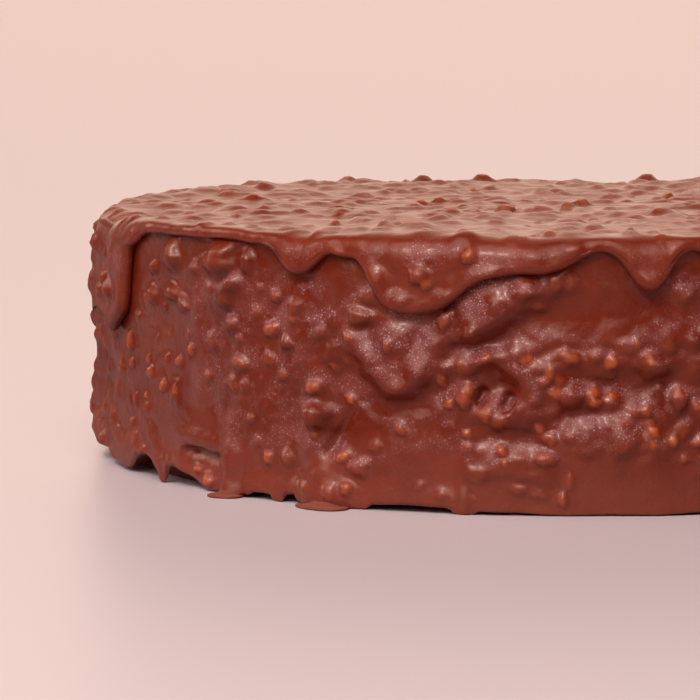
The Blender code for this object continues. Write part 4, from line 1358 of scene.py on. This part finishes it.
@dataclass(frozen=True)
class MilkChocolate:
    """Milk chocolate with chopped nuts, poured warm, set in the cold and brought into warm air.

    Poured chocolate sets with a soft satin gloss that is duller where it lies flat. Its colour is paler
    towards the base, and paler still where it faces up, a painted sheen. Nuts just under it show through as
    orange.
    Dew from the warm air lies in pale patches, partly real and partly a painted sheen of the light, stronger
    where the surface faces up, with beads in them that are glossier than the chocolate and painted pale as
    glints. A thin wet film lies over all. Roughness is that of set chocolate, 0.4 to 0.25, and a bead's is
    0.12. Sizes are metres. The smallest real drops are about 0.1 mm, too fine to show, and are drawn about
    three times as large.
    """

    name: str = "milk_chocolate_poured_over_nuts"
    body: str = "581708"
    light: str = "64200E"
    nut: str = "A8502B"
    # The pale colour of the dew: partly real, and partly a painted sheen of the light from above.
    dew_haze_sheen: str = "8A5A5E"
    # The colour of the beads of dew: painted glints.
    drop: str = "D4B6B6"
    sheen: str = "FFE4D8"
    # Paler towards the base, below 16 mm.
    paler_near_base: str = "84453A"
    # Paler where the surface faces up, such as the top: a painted sheen of the light and the backdrop.
    facing_up_sheen_tone: str = "956658"
    paler_near_base_share: float = 0.3
    facing_up_sheen_share: float = 0.29
    dew_sheen_strength: float = 0.72
    bead_glint_share: float = 0.56
    fine_drops: Drops = Drops(0.00052, (0.25, 0.55), (0.1, 0.7))
    large_drops: Drops = Drops(0.0011, (-0.3, 0.24), (0.4, 0.95))
    mottle_size: float = 0.009
    speck_size: float = 0.0013
    drift_size: float = 0.005
    gloss_size: float = 0.006
    grain_size: float = 0.0022
    grain_depth: float = 0.0002
    bead_height: float = 0.00012
    roughness: float = 0.38
    melted_roughness: float = 0.24
    wet_roughness: float = 0.12
    dull_when_flat: float = 0.14
    dull_when_grazed: float = 0.4
    index: float = 1.42
    specular: float = 0.38
    wet_film: float = 0.11
    film_roughness: float = 0.15
    film_index: float = 1.4
    scatter: float = 0.05
    scatter_depth: float = 0.001

    @staticmethod
    def beads(tree: bpy.types.NodeTree, place_at: Any, drops: Drops) -> Any:
        """Round drops, one in each cell of a pattern: at their middles as bright as their painted glint, 0
        outside them.

        Args:
            tree: the material's node tree.
            place_at: the output that gives the place on the cake.
            drops: their spacing, sizes, and how bright their painted glints are.

        Returns:
            The node with the drops.
        """
        cells = add_node(tree, "TexVoronoi", {"Vector": place_at, "Scale": 1.0 / drops.spacing}, feature="F1")
        size, glint = add_node(tree, "SeparateColor", {0: cells.outputs["Color"]}).outputs[:2]
        least, most = drops.radii
        drawn = add_node(tree, "MapRange", {"Value": size, "To Min": least, "To Max": most})
        radius = add_node(tree, "Math", {0: drawn, 1: 0.001}, operation="MAXIMUM")
        full = add_node(tree, "Math", {0: radius, 1: 0.35}, operation="MULTIPLY")
        dull, bright = drops.brightness
        brightness = add_node(tree, "MapRange", {"Value": glint, "To Min": dull, "To Max": bright})
        return add_node(
            tree,
            "MapRange",
            {"Value": cells.outputs["Distance"], "From Min": radius, "From Max": full, "To Max": brightness},
            interpolation_type="SMOOTHSTEP",
        )

    def dew(self, tree: bpy.types.NodeTree, place_at: Any, up: Any, shows: Any) -> Any:
        """How much dew shows: in drifts, little on bare nuts, and more where it faces up, a painted sheen.

        Args:
            tree: the material's node tree.
            place_at: the output that gives the place on the cake.
            up: the output with how far the surface faces up.
            shows: the output with how much nut shows.

        Returns:
            The node with the dew, from 0 to 1.
        """
        settled: Any = add_node(tree, "Attribute", attribute_name="dew").outputs["Fac"]
        drift = {"Vector": place_at, "Scale": 1.0 / self.drift_size, "Detail": 4.0, "Roughness": 0.65}
        patchy = {"Value": add_node(tree, "TexNoise", drift), "From Min": 0.34, "From Max": 0.52}
        # More where the surface faces up: this paints the light from above into the dew's sheen and glints.
        upwards = {"Value": up, "From Min": -0.2, "From Max": 0.3, "To Min": 0.25}
        clear = {"Value": shows, "To Min": 1.0, "To Max": 0.2}
        for change in (patchy, upwards, clear):
            factor = add_node(tree, "MapRange", change)
            settled = add_node(tree, "Math", {0: settled, 1: factor}, operation="MULTIPLY")
        ends = {"Value": settled, "From Min": 0.1, "From Max": 0.85}
        return add_node(tree, "MapRange", ends, interpolation_type="SMOOTHSTEP")

    def rough(self, tree: bpy.types.NodeTree, place_at: Any, up: Any, bead: Any) -> Any:
        """The roughness: satin in uneven patches, glossy in a bead, duller where flat or seen edge-on.

        Args:
            tree: the material's node tree.
            place_at: the output that gives the place on the cake.
            up: the output with how far the surface faces up.
            bead: the node with the beads of dew.

        Returns:
            The node with the roughness.
        """
        patches = add_node(
            tree, "TexNoise", {"Vector": place_at, "Scale": 1.0 / self.gloss_size, "Detail": 2.0}
        )
        dry = add_node(
            tree,
            "MapRange",
            {"Value": patches, "From Min": 0.38, "From Max": 0.62, "To Min": self.roughness,
             "To Max": self.melted_roughness},
        )
        beaded = add_node(tree, "MapRange", {"Value": bead, "To Min": dry, "To Max": self.wet_roughness})
        edge_on = add_node(tree, "LayerWeight", {"Blend": 0.5}).outputs["Facing"]
        upright = add_node(
            tree,
            "MapRange",
            {"Value": up, "From Min": 0.35, "From Max": 0.75, "To Min": self.dull_when_grazed, "To Max": 0.0},
        )
        grazed = add_node(
            tree, "MapRange", {"Value": edge_on, "From Min": 0.5, "From Max": 0.85, "To Max": upright}
        )
        flat = add_node(
            tree, "MapRange", {"Value": up, "From Min": 0.8, "From Max": 0.97, "To Max": self.dull_when_flat}
        )
        duller = add_node(tree, "Math", {0: grazed, 1: flat}, operation="ADD")
        return add_node(tree, "Math", {0: beaded, 1: duller}, operation="ADD", use_clamp=True)

    def material(self) -> bpy.types.Material:
        """The finish: an even brown with soft mottling, paler towards the base, orange where a nut shows,
        pale dew that is partly a painted sheen, beads of dew painted pale as glints, and a painted sheen
        where it faces up.

        Returns:
            The material, which reads the attributes nut and dew.
        """
        material = bpy.data.materials.new(self.name)
        material.use_nodes = True
        tree = material.node_tree
        place_at = add_node(tree, "TexCoord").outputs["Object"]
        height = add_node(tree, "SeparateXYZ", {0: place_at}).outputs["Z"]
        normal = add_node(tree, "NewGeometry").outputs["Normal"]
        up = add_node(tree, "SeparateXYZ", {0: normal}).outputs["Z"]
        shows = add_node(tree, "Attribute", attribute_name="nut").outputs["Fac"]

        mottle = add_node(
            tree, "TexNoise", {"Vector": place_at, "Scale": 1.0 / self.mottle_size, "Detail": 3.0}
        )
        mottled = add_node(tree, "MapRange", {"Value": mottle, "From Min": 0.35, "From Max": 0.65})
        # Paler towards the base.
        low = add_node(
            tree,
            "MapRange",
            {"Value": height, "From Min": 0.016, "From Max": 0.004, "To Max": self.paler_near_base_share},
        )
        # Paler where the surface faces up: a painted sheen of the light and the backdrop.
        facing_up_sheen = add_node(
            tree, "MapRange", {"Value": up, "From Min": 0.8, "From Max": 0.97, "To Max": self.facing_up_sheen_share}
        )
        speck = add_node(
            tree, "TexNoise", {"Vector": place_at, "Scale": 1.0 / self.speck_size, "Detail": 2.0}
        )
        speckled = add_node(
            tree, "MapRange", {"Value": speck, "From Min": 0.3, "From Max": 0.7, "To Min": 0.45}
        )
        nutty = add_node(tree, "Math", {0: shows, 1: speckled}, operation="MULTIPLY", use_clamp=True)
        here = self.dew(tree, place_at, up, shows)
        fine = self.beads(tree, place_at, self.fine_drops)
        large = self.beads(tree, place_at, self.large_drops)
        # The dew's pale colour: partly real dew, partly a painted sheen of the light.
        mist_and_sheen = add_node(tree, "MapRange", {"Value": fine, "To Min": 0.45 * self.dew_sheen_strength, "To Max": self.dew_sheen_strength})
        dew_haze_sheen_share = add_node(tree, "Math", {0: here, 1: mist_and_sheen}, operation="MULTIPLY")
        # Beads of dew, mixed in pale as painted glints; they also drive the bump and the roughness.
        both = add_node(tree, "Math", {0: fine, 1: large}, operation="MAXIMUM")
        bead = add_node(tree, "Math", {0: both, 1: here}, operation="MULTIPLY")
        beaded = add_node(tree, "Math", {0: bead, 1: self.bead_glint_share}, operation="MULTIPLY")
        colour: Any = linear(self.body)
        for share, over in (
            (mottled, self.light), (low, self.paler_near_base), (facing_up_sheen, self.facing_up_sheen_tone),
            (nutty, self.nut), (dew_haze_sheen_share, self.dew_haze_sheen), (beaded, self.drop),
        ):
            colour = add_node(tree, "Mix", {0: share, MIX_A: colour, MIX_B: linear(over)}, data_type="RGBA")

        grain = add_node(
            tree, "TexNoise", {"Vector": place_at, "Scale": 1.0 / self.grain_size, "Detail": 3.0}
        )
        bump = add_node(tree, "Bump", {"Height": grain, "Strength": 1.0, "Distance": self.grain_depth})
        bump = add_node(
            tree, "Bump", {"Height": bead, "Normal": bump, "Strength": 1.0, "Distance": self.bead_height}
        )
        shader = tree.nodes["Principled BSDF"]
        tree.links.new(colour.outputs["Result"], shader.inputs["Base Color"])
        tree.links.new(self.rough(tree, place_at, up, bead).outputs[0], shader.inputs["Roughness"])
        tree.links.new(bump.outputs["Normal"], shader.inputs["Normal"])
        for socket, value in {
            "IOR": self.index,
            "Specular IOR Level": self.specular,
            "Specular Tint": linear(self.sheen),
            "Coat Weight": self.wet_film,
            "Coat Roughness": self.film_roughness,
            "Coat IOR": self.film_index,
            "Subsurface Weight": self.scatter,
            "Subsurface Radius": (1.0, 0.35, 0.2),
            "Subsurface Scale": self.scatter_depth,
        }.items():
            shader.inputs[socket].default_value = value
        return material


@dataclass(frozen=True)
class PalePaper:
    """Uncoated pale paper, rolled smooth: even and matt, with a faint sheen at a low angle."""

    name: str = "pale_paper_sweep"
    colour: str = "BBAFB6"
    roughness: float = 0.42

    def material(self) -> bpy.types.Material:
        """The finish: an even pale tone.

        Returns:
            The material.
        """
        material = bpy.data.materials.new(self.name)
        material.use_nodes = True
        shader = material.node_tree.nodes["Principled BSDF"]
        shader.inputs["Base Color"].default_value = linear(self.colour)
        shader.inputs["Roughness"].default_value = self.roughness
        return material


class Patch(NamedTuple):
    """A broad patch of light in the dome.

    In order: the way to it, its strength, the cosines of the angles from that way at which it starts and is
    full, and its colour.
    """

    towards: tuple[float, float, float]
    strength: float
    starts: float
    full: float
    colour: str


@dataclass
class Studio:
    """The floor, the soft dome of light, one small lamp and the camera. Lengths are metres."""

    camera_at: tuple[float, float, float] = (0.0, -0.79, 0.1037)
    yaw: float = 3.47
    pitch: float = 5.92
    lens: float = 183.8
    cake_middle: tuple[float, float, float] = (0.0, 0.0, 0.03)
    floor_half: float = 40.0
    floor_below: float = 0.00005
    front: tuple[str, float] = ("5E4D43", 1.2)
    backdrop: tuple[str, float] = ("FFDCC4", 1.82)
    patches: tuple[Patch, ...] = (
        Patch((-0.22, -0.62, 0.75), 3.5, 0.74, 0.92, "FFF2E8"),
        Patch((-0.86, 0.2, 0.45), 3.4, 0.955, 0.985, "FFF0E6"),
        Patch((-0.86, 0.1, 0.5), 0.5, 0.88, 0.97, "FFE6DA"),
    )

    def floor(self) -> None:
        """A wide pale floor just under the cake's base."""
        half, below = self.floor_half, -self.floor_below
        corners = [(-half, -half, below), (half, -half, below), (half, half, below), (-half, half, below)]
        mesh = bpy.data.meshes.new("floor")
        mesh.from_pydata(corners, [], [(0, 1, 2, 3)])
        mesh.materials.append(PalePaper().material())
        obj = bpy.data.objects.new("floor", mesh)
        bpy.context.scene.collection.objects.link(obj)

    def lamp(self, name: str, at: tuple[float, float, float], size: float, power: float, colour: str) -> None:
        """A square light that faces the cake.

        Args:
            name: its name.
            at: where it stands.
            size: the length of its side.
            power: its power in watts.
            colour: its colour.
        """
        data = bpy.data.lights.new(name, "AREA")
        data.shape, data.size, data.energy = "SQUARE", size, power
        data.color = linear(colour)[:3]
        obj = bpy.data.objects.new(name, data)
        obj.location = at
        obj.rotation_euler = (Vector(self.cake_middle) - Vector(at)).to_track_quat("-Z", "Y").to_euler()
        bpy.context.scene.collection.objects.link(obj)

    def dome(self) -> None:
        """Soft light from all round: dim at the sides, pale peach behind, and broad patches in front."""
        world = bpy.data.worlds.new("studio")
        world.use_nodes = True
        tree = world.node_tree
        towards = add_node(tree, "TexCoord").outputs["Generated"]
        axes = add_node(tree, "SeparateXYZ", {0: towards})
        behind = add_node(
            tree, "MapRange", {"Value": axes.outputs[1], "From Min": 0.6, "From Max": 0.93},
            interpolation_type="SMOOTHSTEP",
        )
        shaded = add_node(
            tree, "MapRange", {"Value": axes.outputs[0], "From Min": -0.62, "From Max": -0.24, "To Min": 0.25}
        )
        far = add_node(tree, "Math", {0: behind, 1: shaded}, operation="MULTIPLY")
        (front_colour, front_glow), (back_colour, back_glow) = self.front, self.backdrop
        tones = {0: far, MIX_A: linear(front_colour), MIX_B: linear(back_colour)}
        around = add_node(tree, "Mix", tones, data_type="RGBA")
        glow = add_node(tree, "MapRange", {"Value": far, "To Min": front_glow, "To Max": back_glow})
        light = add_node(tree, "Background", {"Color": around, "Strength": glow})
        for patch in self.patches:
            way = Vector(patch.towards).normalized()
            facing = add_node(tree, "VectorMath", {0: towards, 1: way}, operation="DOT_PRODUCT")
            share = add_node(
                tree,
                "MapRange",
                {"Value": facing, "From Min": patch.starts, "From Max": patch.full, "To Max": patch.strength},
                interpolation_type="SMOOTHSTEP",
            )
            shining = add_node(tree, "Background", {"Color": linear(patch.colour), "Strength": share})
            light = add_node(tree, "AddShader", {0: light, 1: shining})
        tree.links.new(light.outputs[0], tree.nodes["World Output"].inputs["Surface"])
        bpy.context.scene.world = world

    def camera(self) -> None:
        """The camera at the photographed angle."""
        data = bpy.data.cameras.new("camera")
        data.lens, data.sensor_width, data.clip_start, data.clip_end = self.lens, 36.0, 0.01, 200.0
        obj = bpy.data.objects.new("camera", data)
        obj.location = self.camera_at
        obj.rotation_euler = (math.radians(90.0 - self.pitch), 0.0, math.radians(self.yaw))
        bpy.context.scene.collection.objects.link(obj)
        bpy.context.scene.camera = obj

    def build(self) -> None:
        """Sets up the whole studio."""
        self.floor()
        self.dome()
        self.lamp("key", (-0.3, -0.85, 0.8), 0.14, 4.6, "FFF8F4")
        self.camera()
        bpy.context.scene.view_settings.view_transform = "Standard"


def main() -> None:
    """Builds the cake's pieces in order, then the studio."""
    logging.basicConfig(level=logging.INFO, format="%(name)s: %(message)s")
    form = CakeForm()
    plan = NutPlan(form)
    chocolate = MilkChocolate().material()
    second = MilkChocolate("milk_chocolate_of_the_second_coat", body="5F1C0C", light="6C2714").material()
    for piece, finish in (
        (FirstCoat(form).build(plan.side), chocolate),
        (PouredCoat(form).build(plan.pour), second),
        (FootPads(form).build(), chocolate),
    ):
        piece.data.materials.append(finish)
    Studio().build()


if __name__ == "__main__":
    main()
